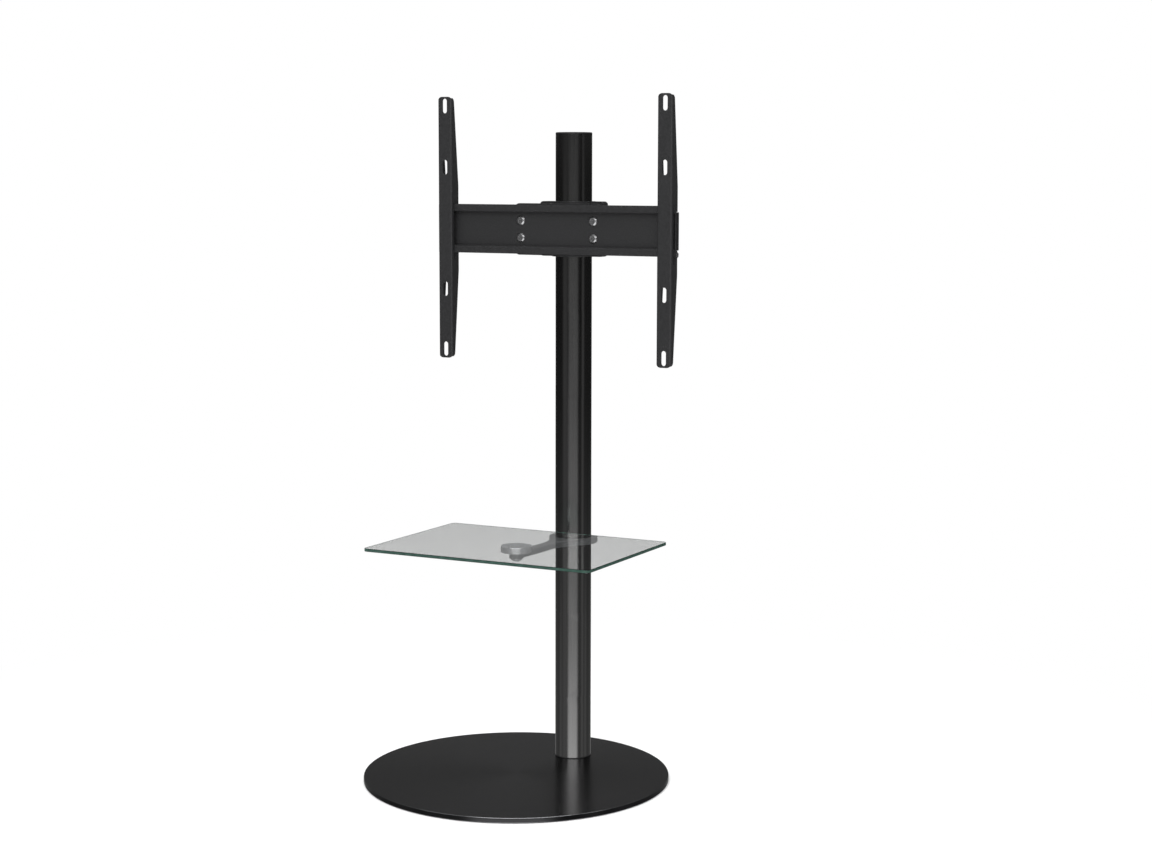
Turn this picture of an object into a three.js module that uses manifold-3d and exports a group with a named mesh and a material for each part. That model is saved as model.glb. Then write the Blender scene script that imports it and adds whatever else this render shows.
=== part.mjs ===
// A floor stand with a height-adjustable, tilting mount and a glass shelf on one round column.
// Millimetres, +Z up. The origin is the centre of the base disc on the floor; the shelf and the mount face -Y.

import * as THREE from "three";
import { mergeVertices } from "three/addons/utils/BufferGeometryUtils.js";
import Module from "manifold-3d";

const wasm = await Module();
wasm.setup();

// Clearances and cutters
const runGap = 0.3; // between round pieces that fit into each other
const seatGap = 0.1; // between flat faces that rest on each other
const overrun = 2; // how far a cutter passes the face that it opens
const weldDistance = 1e-4; // points closer than this are one point

// Counts of facets
const rimSides = 64;
const tubeSides = 32;
const discSides = 16;
const pinSides = 12;
const arcSteps = 3;
const roundSteps = 2;

// Base disc and its pads
const baseDiameter = 500;
const baseThickness = 8;
const baseEdge = 1;
const feetProud = 1; // how far the disc stands off the floor
const footPadCount = 6;
const footPadDiameter = 24;
const footPadRecess = 2;
const footPadRingDiameter = 430;

// Column
const columnDiameter = 60;
const columnWall = 2;
const columnTop = 1050; // above the floor
const columnOffset = 144; // from the disc's centre to the column's axis
const restTurn = 12.7; // degrees that the column is turned from the disc's own front

// Swivel inside the column's foot
const swivelHalfRange = 45; // degrees to each side of the disc's own front
const washerThickness = 1.2;
const spigotFlangeHeight = 12;
const spigotFit = 0.6; // radial play of the spigot's flanges in the column's bore
const spigotNeckDepth = 4.8; // radial depth of the seats that hold the bushes
const spigotBoreDiameter = 28;
const lowerBushLength = 26;
const stopCollarHeight = 36;
const upperBushLength = 26;
const spigotTail = 5; // neck above the upper bush
const bushSlit = 3;
const circlipThickness = 1.8;
const circlipSeatDepth = 2;
const circlipWidth = 5;
const circlipOpening = 50; // degrees
const stopScrewDiameter = 6;
const stopScrewHeadDiameter = 11;
const stopScrewHeadHeight = 3;
const stopGrooveDepth = 4;
const footScrewCount = 4;
const footScrewCircleDiameter = 36;
const footScrewDiameter = 8;
const footScrewHeadDiameter = 16;
const footScrewHeadHeight = 4.2;
const footScrewLength = 16.5;

// Cable holes, their edgings and the cap
const cableHoleWidth = 26;
const cableHoleHeight = 46;
const lowerHoleHeight = 186; // centre above the floor
const upperHoleDrop = 206; // from the mount's middle down to the hole's centre
const grommetLip = 3.5; // how far the edging covers the tube around the hole
const grommetWall = 3;
const grommetThickness = 1.6;
const capThickness = 3;
const capRound = 1.5;
const capSkirtHeight = 14;
const capSkirtWall = 2;

// Shelf
const shelfTop = 399; // above the floor
const glassWidth = 400;
const glassDepth = 280;
const glassThickness = 5;
const glassCornerRadius = 3;
const glassArris = 0.6;
const shelfReach = 196; // from the column's axis to the pad's axis
const padDiameter = 50;
const padHeight = 10;
const padChamfer = 1;
const padHoleDepth = 8;

// Shelf bracket
const collarDiameter = 81;
const collarHeight = 10;
const collarEdge = 1.2;
const armWidth = 19;
const armThickness = 9;
const armRise = 3; // the arm climbs by this much from the collar to its end
const armFillet = 130; // radius of the flares into the collar
const armEdge = 1;
const bossDiameter = 23;
const bossProud = 0.5;
const shelfScrewDiameter = 10;
const shelfScrewHeadDiameter = 21;
const shelfScrewHeadHeight = 6;
const setScrewDiameter = 6;
const setScrewAngle = 35; // degrees to each side of the collar's back

// Clamp on the column
const mountDrop = 154; // from the column's top down to the mount's middle
const saddleWall = 6;
const saddleHeight = 90;
const saddleSplit = 2; // between the two clamp halves
const clampEarThickness = 8;
const clampEarReach = 22; // beyond the saddle's wall
const clampEarRound = 6;
const clampBoltDiameter = 8;
const clampBoltHeight = 28; // above and below the middle
const clampBoltHeadDiameter = 13;
const clampBoltHeadHeight = 8;
const nutAcrossFlats = 13;
const nutHeight = 6.5;
const boltTail = 2.5; // thread that shows past a nut

// Tilt joint
const pivotReach = 46; // from the column's axis to the pivot
const pivotBoltDiameter = 8;
const pivotHeadHeight = 5.3;
const cheekThickness = 6;
const cheekInside = 30; // from the middle plane to each cheek
const cheekNoseRadius = 8;
const cheekShoulderRadius = 8;
const cheekShoulderBack = 10; // from the pivot, along the depth
const cheekShoulderHeight = 30;
const cheekRootRadius = 4;
const cheekRootBack = 32;
const cheekRootHeight = 38;
const tiltDown = 12; // degrees
const tiltUp = 5; // degrees
const lockRadius = 24; // from the pivot to the lock stud
const lockAngle = -70; // degrees, measured in the side view from straight back
const lockStudDiameter = 8;
const lockHeadDiameter = 12;
const lockHeadHeight = 3;

// Tilt bracket
const earGap = 0.4;
const earThickness = 4;
const earPivotRadius = 10;
const earLockRadius = 8.5;
const earCornerRadius = 2;
const earTop = 22;
const earBottom = 34;
const plateGap = 0.6; // between the cheeks' noses and the plate
const plateThickness = 3.6;
const plateWidth = 160;
const plateHeight = 84;
const plateRound = 10;
const crossbarBoltSpacingX = 132;
const crossbarBoltSpacingZ = 28;
const crossbarBoltDiameter = 8;
const crossbarBoltHeadDiameter = 16;
const crossbarBoltHeadHeight = 4;

// Crossbar
const crossbarOverhang = 1.5; // beyond each rail at rest
const crossbarGauge = 2.5;
const crossbarHeight = 60;
const crossbarDepth = 11;
const crossbarLip = 10;
const endCapThickness = 2.4;
const endCapPlug = 9;
const endCapRound = 1;

// Hook-on rails
const patternSpacing = 400; // between the rails' slot lines, at rest
const railWidth = 26;
const railGauge = 2.5;
const railEndRound = 8;
const railStandOff = 5; // between the crossbar's lips and the rail's web
const railEndDepth = 8;
const railHookDepth = 11;
const railHookHalfHeight = 70;
const railHookClearance = 0.5;
const railLift = 12; // room under the lower lip, to lift the rail off
const slotWidth = 8.6;
const slotHeight = 24;
const slotHeights = [-200, -100, 100, 200];
const railEndMargin = 15; // from the middle of the outermost slot to the rail's end
const railBoltDiameter = 5;
const railBoltDrop = 7; // below the crossbar's underside
const railBoltHeadHeight = 3;
const railNutAcrossFlats = 8;
const railNutHeight = 3;

// Lobed hand knobs
const knobLobes = 5;
const knobDiameter = 25;
const knobLobeDepth = 1.6;
const knobThickness = 9;
const knobHubDiameter = 17;
const knobHubHeight = 5;
const knobEdge = 1.2;
const knobPointsPerLobe = 5;
const studReach = 8; // how far the stud goes into the knob

// Hexagon sockets and heads, as shares of the head that carries them
const socketShare = 0.5;
const socketDepthShare = 0.6;

// Places worked out from the sizes
const degree = Math.PI / 180;
const baseTop = feetProud + baseThickness;
const columnRadius = columnDiameter / 2;
const columnBore = columnRadius - columnWall;
const washerBottom = baseTop + seatGap;
const columnBottom = washerBottom + washerThickness + seatGap;
const spigotBottom = baseTop + seatGap;
const spigotRadius = columnBore - spigotFit;
const neckRadius = spigotRadius - spigotNeckDepth;
const flangeTop = spigotBottom + spigotFlangeHeight;
const stopCollarBottom = flangeTop + lowerBushLength;
const stopCollarTop = stopCollarBottom + stopCollarHeight;
const stopScrewHeight = (stopCollarBottom + stopCollarTop) / 2;
const stopGrooveRadius = spigotRadius - stopGrooveDepth;
const circlipBottom = stopCollarTop + upperBushLength;
const spigotTop = circlipBottom + circlipThickness + spigotTail;
const glassBottom = shelfTop - glassThickness;
const mountHeight = columnTop - mountDrop;
const upperHoleHeight = mountHeight - upperHoleDrop;
const bossTop = -padHeight - seatGap - seatGap;
const bossBottom = bossTop - armThickness - bossProud - bossProud;
const collarTop = bossTop - bossProud - armRise;
const collarRadius = collarDiameter / 2;
const clampBore = columnRadius + runGap;
const saddleRadius = clampBore + saddleWall;
const clampBoltX = saddleRadius + clampEarReach / 2;
const clampEarFace = saddleSplit / 2 + clampEarThickness;
const cheekOutside = cheekInside + cheekThickness;
const earInside = cheekOutside + earGap;
const earOutside = earInside + earThickness;
const plateBack = -(cheekNoseRadius + plateGap);
const plateFront = plateBack - plateThickness;
const crossbarBack = plateFront - seatGap;
const crossbarFront = crossbarBack - crossbarDepth;
const lipBack = crossbarFront + crossbarGauge;
const crossbarLength = patternSpacing + railWidth + 2 * crossbarOverhang;
const railLength = 2 * (Math.max(...slotHeights) + railEndMargin);
const railNotch = crossbarFront - runGap;
const railWebBack = railNotch - railStandOff;
const railFace = railWebBack - railGauge;
const railHookBack = lipBack + runGap + railHookDepth;
const lockY = lockRadius * Math.cos(lockAngle * degree);
const lockZ = lockRadius * Math.sin(lockAngle * degree);
const knobInside = earOutside + runGap;

// Directions of shapes that are drawn flat and extruded along X or -Y
const acrossX = new THREE.Matrix4().makeBasis(
  new THREE.Vector3(0, 1, 0),
  new THREE.Vector3(0, 0, 1),
  new THREE.Vector3(1, 0, 0),
);
const acrossY = new THREE.Matrix4().makeBasis(
  new THREE.Vector3(1, 0, 0),
  new THREE.Vector3(0, 0, 1),
  new THREE.Vector3(0, -1, 0),
);

const finishes = {
  darkSteel: { color: 0x3a3a3c, roughness: 0.32, metalness: 1 },
  columnSteel: { color: 0x4a4a4b, roughness: 0.28, metalness: 1 },
  castMetal: { color: 0x6f7173, roughness: 0.45, metalness: 1 },
  polishedSteel: { color: 0xc8cacb, roughness: 0.1, metalness: 1 },
  mountPaint: { color: 0x1c1c1e, roughness: 0.55, metalness: 0 },
  zincPlate: { color: 0x9a9c9e, roughness: 0.35, metalness: 1 },
  plainSteel: { color: 0x77797b, roughness: 0.4, metalness: 1 },
  clearGlass: { color: 0xdfeae6, roughness: 0.02, metalness: 0, transparent: true, opacity: 0.35 },
  blackRubber: { color: 0x161616, roughness: 0.85, metalness: 0 },
  blackPlastic: { color: 0x1a1a1b, roughness: 0.5, metalness: 0 },
  nylon: { color: 0xd8d6cc, roughness: 0.6, metalness: 0 },
};
const materials = Object.fromEntries(
  Object.entries(finishes).map(([name, finish]) => [name, new THREE.MeshStandardMaterial(finish)]),
);

// Solids

function solidFrom(shape) {
  if (!shape.isBufferGeometry) return shape;
  const bare = new THREE.BufferGeometry();
  bare.setAttribute("position", shape.getAttribute("position"));
  bare.setIndex(shape.index);
  const merged = mergeVertices(bare, weldDistance);
  return new wasm.Manifold(
    new wasm.Mesh({
      numProp: 3,
      vertProperties: merged.attributes.position.array,
      triVerts: new Uint32Array(merged.index.array),
    }),
  );
}

function geometryFrom(shape) {
  const mesh = solidFrom(shape).getMesh();
  const geometry = new THREE.BufferGeometry();
  geometry.setAttribute("position", new THREE.BufferAttribute(mesh.vertProperties, 3));
  geometry.setIndex(new THREE.BufferAttribute(mesh.triVerts, 1));
  const flat = geometry.toNonIndexed();
  flat.computeVertexNormals();
  return flat;
}

function join(first, ...others) {
  return others.reduce((whole, next) => whole.add(solidFrom(next)), solidFrom(first));
}

function cut(body, ...cutters) {
  return cutters.reduce((rest, cutter) => rest.subtract(solidFrom(cutter)), solidFrom(body));
}

function common(first, second) {
  return solidFrom(first).intersect(solidFrom(second));
}

// A shape turned about Z. The outline holds [radius, height] points, counterclockwise, and closes on itself
// where it doesn't start and end on the axis.
function turned(outline, sides = tubeSides) {
  const loop = outline[0][0] > 0 ? [...outline, outline[0]] : outline;
  return new THREE.LatheGeometry(
    loop.map(([radius, height]) => new THREE.Vector2(radius, height)),
    sides,
  ).rotateX(Math.PI / 2);
}

// Points of a rounded corner in a turned outline.
function corner(radius, height, round, from, to) {
  return Array.from({ length: roundSteps + 1 }, (_, step) => {
    const angle = (from + ((to - from) * step) / roundSteps) * degree;
    return [radius + round * Math.cos(angle), height + round * Math.sin(angle)];
  });
}

// A straight round bar along Z.
function roundBar(diameter, bottom, top, sides = pinSides) {
  return new THREE.CylinderGeometry(diameter / 2, diameter / 2, top - bottom, sides)
    .rotateX(Math.PI / 2)
    .translate(0, 0, (bottom + top) / 2);
}

// A straight ring along Z.
function ring(inner, outer, bottom, top, sides = tubeSides) {
  return turned([[inner, bottom], [outer, bottom], [outer, top], [inner, top]], sides);
}

function block(x0, x1, y0, y1, z0, z1) {
  return new THREE.BoxGeometry(x1 - x0, y1 - y0, z1 - z0)
    .translate((x0 + x1) / 2, (y0 + y1) / 2, (z0 + z1) / 2);
}

// A flat shape given thickness along Z from 0, with its two edges bevelled.
function plateOf(shape, thickness, bevel = 0) {
  return new THREE.ExtrudeGeometry(shape, {
    depth: thickness - bevel - bevel,
    bevelEnabled: bevel > 0,
    bevelThickness: bevel,
    bevelSize: bevel,
    bevelOffset: -bevel,
    bevelSegments: 1,
    curveSegments: arcSteps,
  }).translate(0, 0, bevel);
}

// The outline of a belt drawn tight round circles, given counterclockwise as [x, y, radius].
function belt(circles) {
  const shape = new THREE.Shape();
  const normalAfter = circles.map(([x, y, radius], i) => {
    const [nextX, nextY, nextRadius] = circles[(i + 1) % circles.length];
    const along = Math.atan2(nextY - y, nextX - x);
    return along - Math.acos((radius - nextRadius) / Math.hypot(nextX - x, nextY - y));
  });
  circles.forEach(([x, y, radius], i) => {
    const before = normalAfter[(i + circles.length - 1) % circles.length];
    shape.absarc(x, y, radius, before, normalAfter[i], false);
  });
  return shape;
}

// A rectangle about a centre, with rounded corners.
function roundedRectangle(width, height, radius, x = 0, y = 0) {
  const halfX = width / 2 - radius;
  const halfY = height / 2 - radius;
  return belt([
    [x - halfX, y - halfY, radius],
    [x + halfX, y - halfY, radius],
    [x + halfX, y + halfY, radius],
    [x - halfX, y + halfY, radius],
  ]);
}

// A slot with round ends that stands upright.
function uprightSlot(width, height, x = 0, y = 0) {
  const radius = width / 2;
  const half = height / 2 - radius;
  return belt([[x, y - half, radius], [x, y + half, radius]]);
}

// An arc-shaped slot about the origin, of one width all along.
function arcSlot(radius, width, from, to) {
  const half = width / 2;
  const start = from * degree;
  const end = to * degree;
  const shape = new THREE.Shape();
  shape.absarc(0, 0, radius + half, start, end, false);
  shape.absarc(radius * Math.cos(end), radius * Math.sin(end), half, end, end + Math.PI, false);
  shape.absarc(0, 0, radius - half, end, start, true);
  shape.absarc(radius * Math.cos(start), radius * Math.sin(start), half, start + Math.PI, start + 2 * Math.PI, false);
  return shape;
}

// A hexagon prism along Z.
function hexBar(acrossFlats, bottom, top) {
  return roundBar(acrossFlats / Math.cos(Math.PI / 6), bottom, top, 6);
}

// A screw along Z with its head's seat at 0, its shank below and its head above, and a hexagon socket.
function socketScrew(diameter, length, headDiameter, headHeight, headRound) {
  const radius = diameter / 2;
  const headRadius = headDiameter / 2;
  const round = Math.min(headRound, headHeight, headRadius);
  const screw = turned([
    [0, -length],
    [radius, -length],
    [radius, 0],
    [headRadius, 0],
    ...corner(headRadius - round, headHeight - round, round, 0, 90),
    [0, headHeight],
  ], pinSides);
  const depth = headHeight * socketDepthShare;
  return cut(screw, hexBar(headDiameter * socketShare, headHeight - depth, headHeight + overrun));
}

// A hexagon nut along Z, from 0 up.
function nut(acrossFlats, height, diameter) {
  return cut(
    hexBar(acrossFlats, 0, height),
    roundBar(diameter + runGap + runGap, -overrun, height + overrun),
  );
}

// Places a shape that was made along Z so that it points along -Y, +Y, +X or -X.
const pointing = {
  forward: (shape) => geometryFrom(shape).rotateX(Math.PI / 2),
  back: (shape) => geometryFrom(shape).rotateX(-Math.PI / 2),
  right: (shape) => geometryFrom(shape).rotateY(Math.PI / 2),
  left: (shape) => geometryFrom(shape).rotateY(-Math.PI / 2),
};

// A round hole along Y through everything between two depths.
function holeAlongY(diameter, front, back) {
  return pointing.back(roundBar(diameter, front - overrun, back + overrun));
}

function piece(name, shape, material) {
  const mesh = new THREE.Mesh(geometryFrom(shape), material);
  mesh.name = name;
  return mesh;
}

function at(object, x, y, z) {
  object.position.set(x, y, z);
  return object;
}

// Base: drawn in the disc's own frame, with the column straight behind the centre

function footPadPlaces() {
  return Array.from({ length: footPadCount }, (_, i) => {
    const angle = ((i + 0.5) / footPadCount) * 2 * Math.PI;
    const radius = footPadRingDiameter / 2;
    return [radius * Math.cos(angle), radius * Math.sin(angle)];
  });
}

function footScrewPlaces() {
  return Array.from({ length: footScrewCount }, (_, i) => {
    const angle = ((i + 0.5) / footScrewCount) * 2 * Math.PI;
    const radius = footScrewCircleDiameter / 2;
    return [radius * Math.cos(angle), columnOffset + radius * Math.sin(angle)];
  });
}

// Countersunk outline of a foot screw, grown by a gap for its hole.
function footScrewOutline(gap, length, seat) {
  const radius = footScrewDiameter / 2 + gap;
  const headRadius = footScrewHeadDiameter / 2 + gap;
  return [
    [0, seat],
    [headRadius, seat],
    [headRadius, feetProud + seatGap],
    [radius, feetProud + seatGap + footScrewHeadHeight],
    [radius, feetProud + length],
    [0, feetProud + length],
  ];
}

function baseDisc() {
  const radius = baseDiameter / 2;
  const disc = turned([
    [0, feetProud],
    [radius - baseEdge, feetProud],
    [radius, feetProud + baseEdge],
    [radius, baseTop - baseEdge],
    [radius - baseEdge, baseTop],
    [0, baseTop],
  ], rimSides);
  const recess = () => roundBar(
    footPadDiameter + runGap + runGap,
    feetProud - overrun,
    feetProud + footPadRecess,
    discSides,
  );
  const screwHole = () => turned(
    footScrewOutline(runGap, baseThickness + overrun, feetProud - overrun),
    pinSides,
  );
  return cut(
    disc,
    ...footPadPlaces().map(([x, y]) => recess().translate(x, y, 0)),
    ...footScrewPlaces().map(([x, y]) => screwHole().translate(x, y, 0)),
  );
}

function footPad() {
  const radius = footPadDiameter / 2;
  const top = feetProud + footPadRecess - seatGap;
  return turned([
    [0, 0],
    [radius - feetProud / 2, 0],
    [radius, feetProud / 2],
    [radius, top],
    [0, top],
  ], discSides);
}

function footScrew() {
  const screw = turned(footScrewOutline(0, footScrewLength, feetProud + seatGap), pinSides);
  const socketTop = feetProud + footScrewHeadHeight * socketDepthShare;
  return cut(screw, hexBar(footScrewHeadDiameter * socketShare, feetProud - overrun, socketTop));
}

function footSpigot() {
  const seatRadius = neckRadius - circlipSeatDepth;
  const boreRadius = spigotBoreDiameter / 2;
  const body = turned([
    [0, spigotBottom],
    [spigotRadius, spigotBottom],
    [spigotRadius, flangeTop],
    [neckRadius, flangeTop],
    [neckRadius, stopCollarBottom],
    [spigotRadius, stopCollarBottom],
    [spigotRadius, stopCollarTop],
    [neckRadius, stopCollarTop],
    [neckRadius, circlipBottom],
    [seatRadius, circlipBottom],
    [seatRadius, circlipBottom + circlipThickness + seatGap + seatGap],
    [neckRadius, circlipBottom + circlipThickness + seatGap + seatGap],
    [neckRadius, spigotTop],
    [boreRadius, spigotTop],
    [boreRadius, flangeTop],
    [0, flangeTop],
  ]);
  const screwHole = () => roundBar(
    footScrewDiameter + runGap + runGap,
    spigotBottom - overrun,
    feetProud + footScrewLength + runGap,
  );
  return cut(
    body.translate(0, columnOffset, 0),
    stopGroove().translate(0, columnOffset, stopScrewHeight),
    ...footScrewPlaces().map(([x, y]) => screwHole().translate(x, y, 0)),
  );
}

// The part-turn groove that the stop screw's tip runs in, about the column's axis.
function stopGroove() {
  const tipAngle = Math.asin((stopScrewDiameter / 2 + runGap) / stopGrooveRadius) / degree;
  const half = swivelHalfRange + tipAngle;
  const height = stopScrewDiameter + runGap + runGap;
  const sector = new THREE.Shape();
  sector.absarc(0, 0, spigotRadius + overrun, (90 - half) * degree, (90 + half) * degree, false);
  sector.absarc(0, 0, stopGrooveRadius, (90 + half) * degree, (90 - half) * degree, true);
  return new THREE.ExtrudeGeometry(sector, {
    depth: height,
    bevelEnabled: false,
    curveSegments: tubeSides / 4,
  }).translate(0, 0, -height / 2);
}

function bush(bottom, top) {
  return ring(neckRadius + runGap, columnBore - runGap, bottom + seatGap, top - seatGap);
}

// The lower bush is slit, because it has to snap over the spigot's collar.
function lowerBush() {
  const slit = block(
    -bushSlit / 2, bushSlit / 2, -columnBore, -neckRadius + overrun, flangeTop, stopCollarBottom,
  );
  return cut(bush(flangeTop, stopCollarBottom), slit);
}

function circlip() {
  const inner = neckRadius - circlipSeatDepth + runGap;
  const outer = inner + circlipWidth;
  const middle = (inner + outer) / 2;
  const tip = circlipWidth / 2;
  const start = (-90 + circlipOpening / 2) * degree;
  const end = (270 - circlipOpening / 2) * degree;
  const shape = new THREE.Shape();
  shape.absarc(0, 0, outer, start, end, false);
  shape.absarc(middle * Math.cos(end), middle * Math.sin(end), tip, end, end + Math.PI, false);
  shape.absarc(0, 0, inner, end, start, true);
  shape.absarc(middle * Math.cos(start), middle * Math.sin(start), tip, start + Math.PI, start + 2 * Math.PI, false);
  return new THREE.ExtrudeGeometry(shape, {
    depth: circlipThickness,
    bevelEnabled: false,
    curveSegments: tubeSides / 4,
  }).translate(0, 0, circlipBottom + seatGap);
}

function makeBase() {
  const group = new THREE.Group();
  group.rotation.z = -restTurn * degree;
  group.add(piece("base_disc", baseDisc(), materials.darkSteel));
  footPadPlaces().forEach(([x, y], i) => {
    group.add(at(piece(`foot_pad_${i + 1}`, footPad(), materials.blackRubber), x, y, 0));
  });
  footScrewPlaces().forEach(([x, y], i) => {
    group.add(at(piece(`foot_screw_${i + 1}`, footScrew(), materials.zincPlate), x, y, 0));
  });
  group.add(piece("foot_spigot", footSpigot(), materials.plainSteel));
  const onColumnAxis = (name, shape, material) => {
    group.add(at(piece(name, shape, material), 0, columnOffset, 0));
  };
  onColumnAxis("lower_bush", lowerBush(), materials.nylon);
  onColumnAxis("upper_bush", bush(stopCollarTop, circlipBottom), materials.nylon);
  onColumnAxis("spigot_circlip", circlip(), materials.zincPlate);
  onColumnAxis(
    "thrust_washer",
    ring(spigotRadius + runGap, columnRadius, washerBottom, washerBottom + washerThickness),
    materials.blackPlastic,
  );
  return group;
}

// Column: drawn about its own axis

// A prism of an upright shape that cuts through the back wall of the tube.
function throughBack(shape, height) {
  return plateOf(shape, columnRadius + overrun)
    .applyMatrix4(acrossY)
    .translate(0, columnRadius + overrun, height);
}

function columnTube() {
  const tube = ring(columnBore, columnRadius, columnBottom, columnTop);
  const hole = uprightSlot(cableHoleWidth, cableHoleHeight);
  const stopHole = roundBar(stopScrewDiameter + runGap + runGap, 0, columnRadius + overrun);
  return cut(
    tube,
    throughBack(hole, lowerHoleHeight),
    throughBack(hole, upperHoleHeight),
    pointing.back(stopHole).translate(0, 0, stopScrewHeight),
  );
}

// A rubber edging: a neck in the hole's wall and a flange outside, both curved like the tube.
function grommet(height) {
  const neckWidth = cableHoleWidth - runGap - runGap;
  const neckHeight = cableHoleHeight - runGap - runGap;
  const reach = cableHoleHeight / 2 + grommetLip + overrun;
  const outside = columnRadius + runGap;
  const skin = outside + grommetThickness;
  const flange = common(
    ring(outside, skin, height - reach, height + reach),
    throughBack(uprightSlot(cableHoleWidth + 2 * grommetLip, cableHoleHeight + 2 * grommetLip), height),
  );
  const neck = common(
    ring(columnBore - grommetThickness, skin, height - reach, height + reach),
    throughBack(uprightSlot(neckWidth, neckHeight), height),
  );
  const passage = uprightSlot(neckWidth - 2 * grommetWall, neckHeight - 2 * grommetWall);
  return cut(join(flange, neck), throughBack(passage, height));
}

function columnCap() {
  const skirtRadius = columnBore - runGap;
  const bottom = columnTop + seatGap;
  return turned([
    [0, bottom],
    [skirtRadius - capSkirtWall, bottom],
    [skirtRadius - capSkirtWall, bottom - capSkirtHeight],
    [skirtRadius, bottom - capSkirtHeight],
    [skirtRadius, bottom],
    [columnRadius, bottom],
    ...corner(columnRadius - capRound, bottom + capThickness - capRound, capRound, 0, 90),
    [0, bottom + capThickness],
  ]);
}

function stopScrew() {
  const length = columnRadius + seatGap - stopGrooveRadius - runGap;
  const screw = socketScrew(
    stopScrewDiameter, length, stopScrewHeadDiameter, stopScrewHeadHeight, stopScrewHeadHeight,
  );
  return pointing.back(screw).translate(0, columnRadius + seatGap, stopScrewHeight);
}

// Shelf: drawn from the underside of the glass, about the column's axis

function glassShelf() {
  const outline = roundedRectangle(glassWidth, glassDepth, glassCornerRadius, 0, -shelfReach);
  return plateOf(outline, glassThickness, glassArris);
}

function shelfPad() {
  const radius = padDiameter / 2;
  const bottom = -seatGap - padHeight;
  const holeRadius = shelfScrewDiameter / 2 + runGap;
  return turned([
    [0, bottom + padHoleDepth],
    [holeRadius, bottom + padHoleDepth],
    [holeRadius, bottom],
    [radius - padChamfer, bottom],
    [radius, bottom + padChamfer],
    [radius, -seatGap - padChamfer],
    [radius - padChamfer, -seatGap],
    [0, -seatGap],
  ]).translate(0, -shelfReach, 0);
}

// The arm's plan: straight sides that flare into the collar on large fillets, and a round end.
function armOutline() {
  const half = armWidth / 2;
  const centreX = half + armFillet;
  const centreY = -Math.sqrt((collarRadius + armFillet) ** 2 - centreX ** 2);
  const sweep = Math.atan2(-centreY, centreX);
  const endAngle = Math.asin(Math.sqrt(1 - (half / (bossDiameter / 2)) ** 2));
  const shape = new THREE.Shape();
  shape.absarc(centreX, centreY, armFillet, Math.PI - sweep, Math.PI, false);
  shape.absarc(0, -shelfReach, bossDiameter / 2, endAngle, Math.PI - endAngle, true);
  shape.absarc(-centreX, centreY, armFillet, 0, sweep, false);
  return shape;
}

function shelfBracket() {
  const collarBottom = collarTop - collarHeight;
  const collar = turned([
    [clampBore, collarBottom],
    [collarRadius - collarEdge, collarBottom],
    [collarRadius, collarBottom + collarEdge],
    [collarRadius, collarTop - collarEdge],
    [collarRadius - collarEdge, collarTop],
    [clampBore, collarTop],
  ]);
  const slope = new THREE.Matrix4().identity();
  const rise = armRise / (shelfReach - collarRadius);
  slope.elements[6] = -rise;
  const arm = plateOf(armOutline(), armThickness, armEdge)
    .applyMatrix4(slope)
    .translate(0, 0, collarTop - armThickness - rise * collarRadius);
  const boss = roundBar(bossDiameter, bossBottom, bossTop, discSides);
  const screwHole = roundBar(shelfScrewDiameter + runGap + runGap, bossBottom - overrun, bossTop + overrun);
  const setScrewHole = (side) => pointing.back(roundBar(setScrewDiameter + runGap + runGap, 0, collarRadius + overrun))
    .rotateZ(side * setScrewAngle * degree)
    .translate(0, 0, collarTop - collarHeight / 2);
  return cut(
    join(collar, arm, boss.translate(0, -shelfReach, 0)),
    roundBar(2 * clampBore, collarBottom - overrun, collarTop + armRise + overrun, tubeSides),
    screwHole.translate(0, -shelfReach, 0),
    setScrewHole(-1),
    setScrewHole(1),
  );
}

function collarSetScrew(side) {
  const length = collarRadius - clampBore - collarEdge;
  const bar = roundBar(setScrewDiameter, clampBore, clampBore + length);
  const socket = hexBar(setScrewDiameter * socketShare, clampBore + length * socketDepthShare, collarRadius);
  return pointing.back(cut(bar, socket))
    .rotateZ(side * setScrewAngle * degree)
    .translate(0, 0, collarTop - collarHeight / 2);
}

function shelfScrew() {
  const seat = bossBottom - seatGap;
  const tip = -seatGap - padHeight + padHoleDepth - runGap;
  const screw = socketScrew(
    shelfScrewDiameter, tip - seat, shelfScrewHeadDiameter, shelfScrewHeadHeight, shelfScrewHeadHeight,
  );
  return geometryFrom(screw).rotateX(Math.PI).translate(0, -shelfReach, seat);
}

function makeShelf() {
  const group = new THREE.Group();
  group.add(piece("shelf_bracket", shelfBracket(), materials.castMetal));
  group.add(piece("collar_set_screw_left", collarSetScrew(1), materials.zincPlate));
  group.add(piece("collar_set_screw_right", collarSetScrew(-1), materials.zincPlate));
  group.add(piece("shelf_pad", shelfPad(), materials.polishedSteel));
  group.add(piece("shelf_screw", shelfScrew(), materials.castMetal));
  group.add(piece("glass_shelf", glassShelf(), materials.clearGlass));
  return at(group, 0, 0, glassBottom);
}

// Clamp: drawn about the column's axis and the mount's middle height

function clampBoltPlaces() {
  return [[-1, 1], [1, 1], [-1, -1], [1, -1]].map(([x, z]) => [x * clampBoltX, z * clampBoltHeight]);
}

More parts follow.
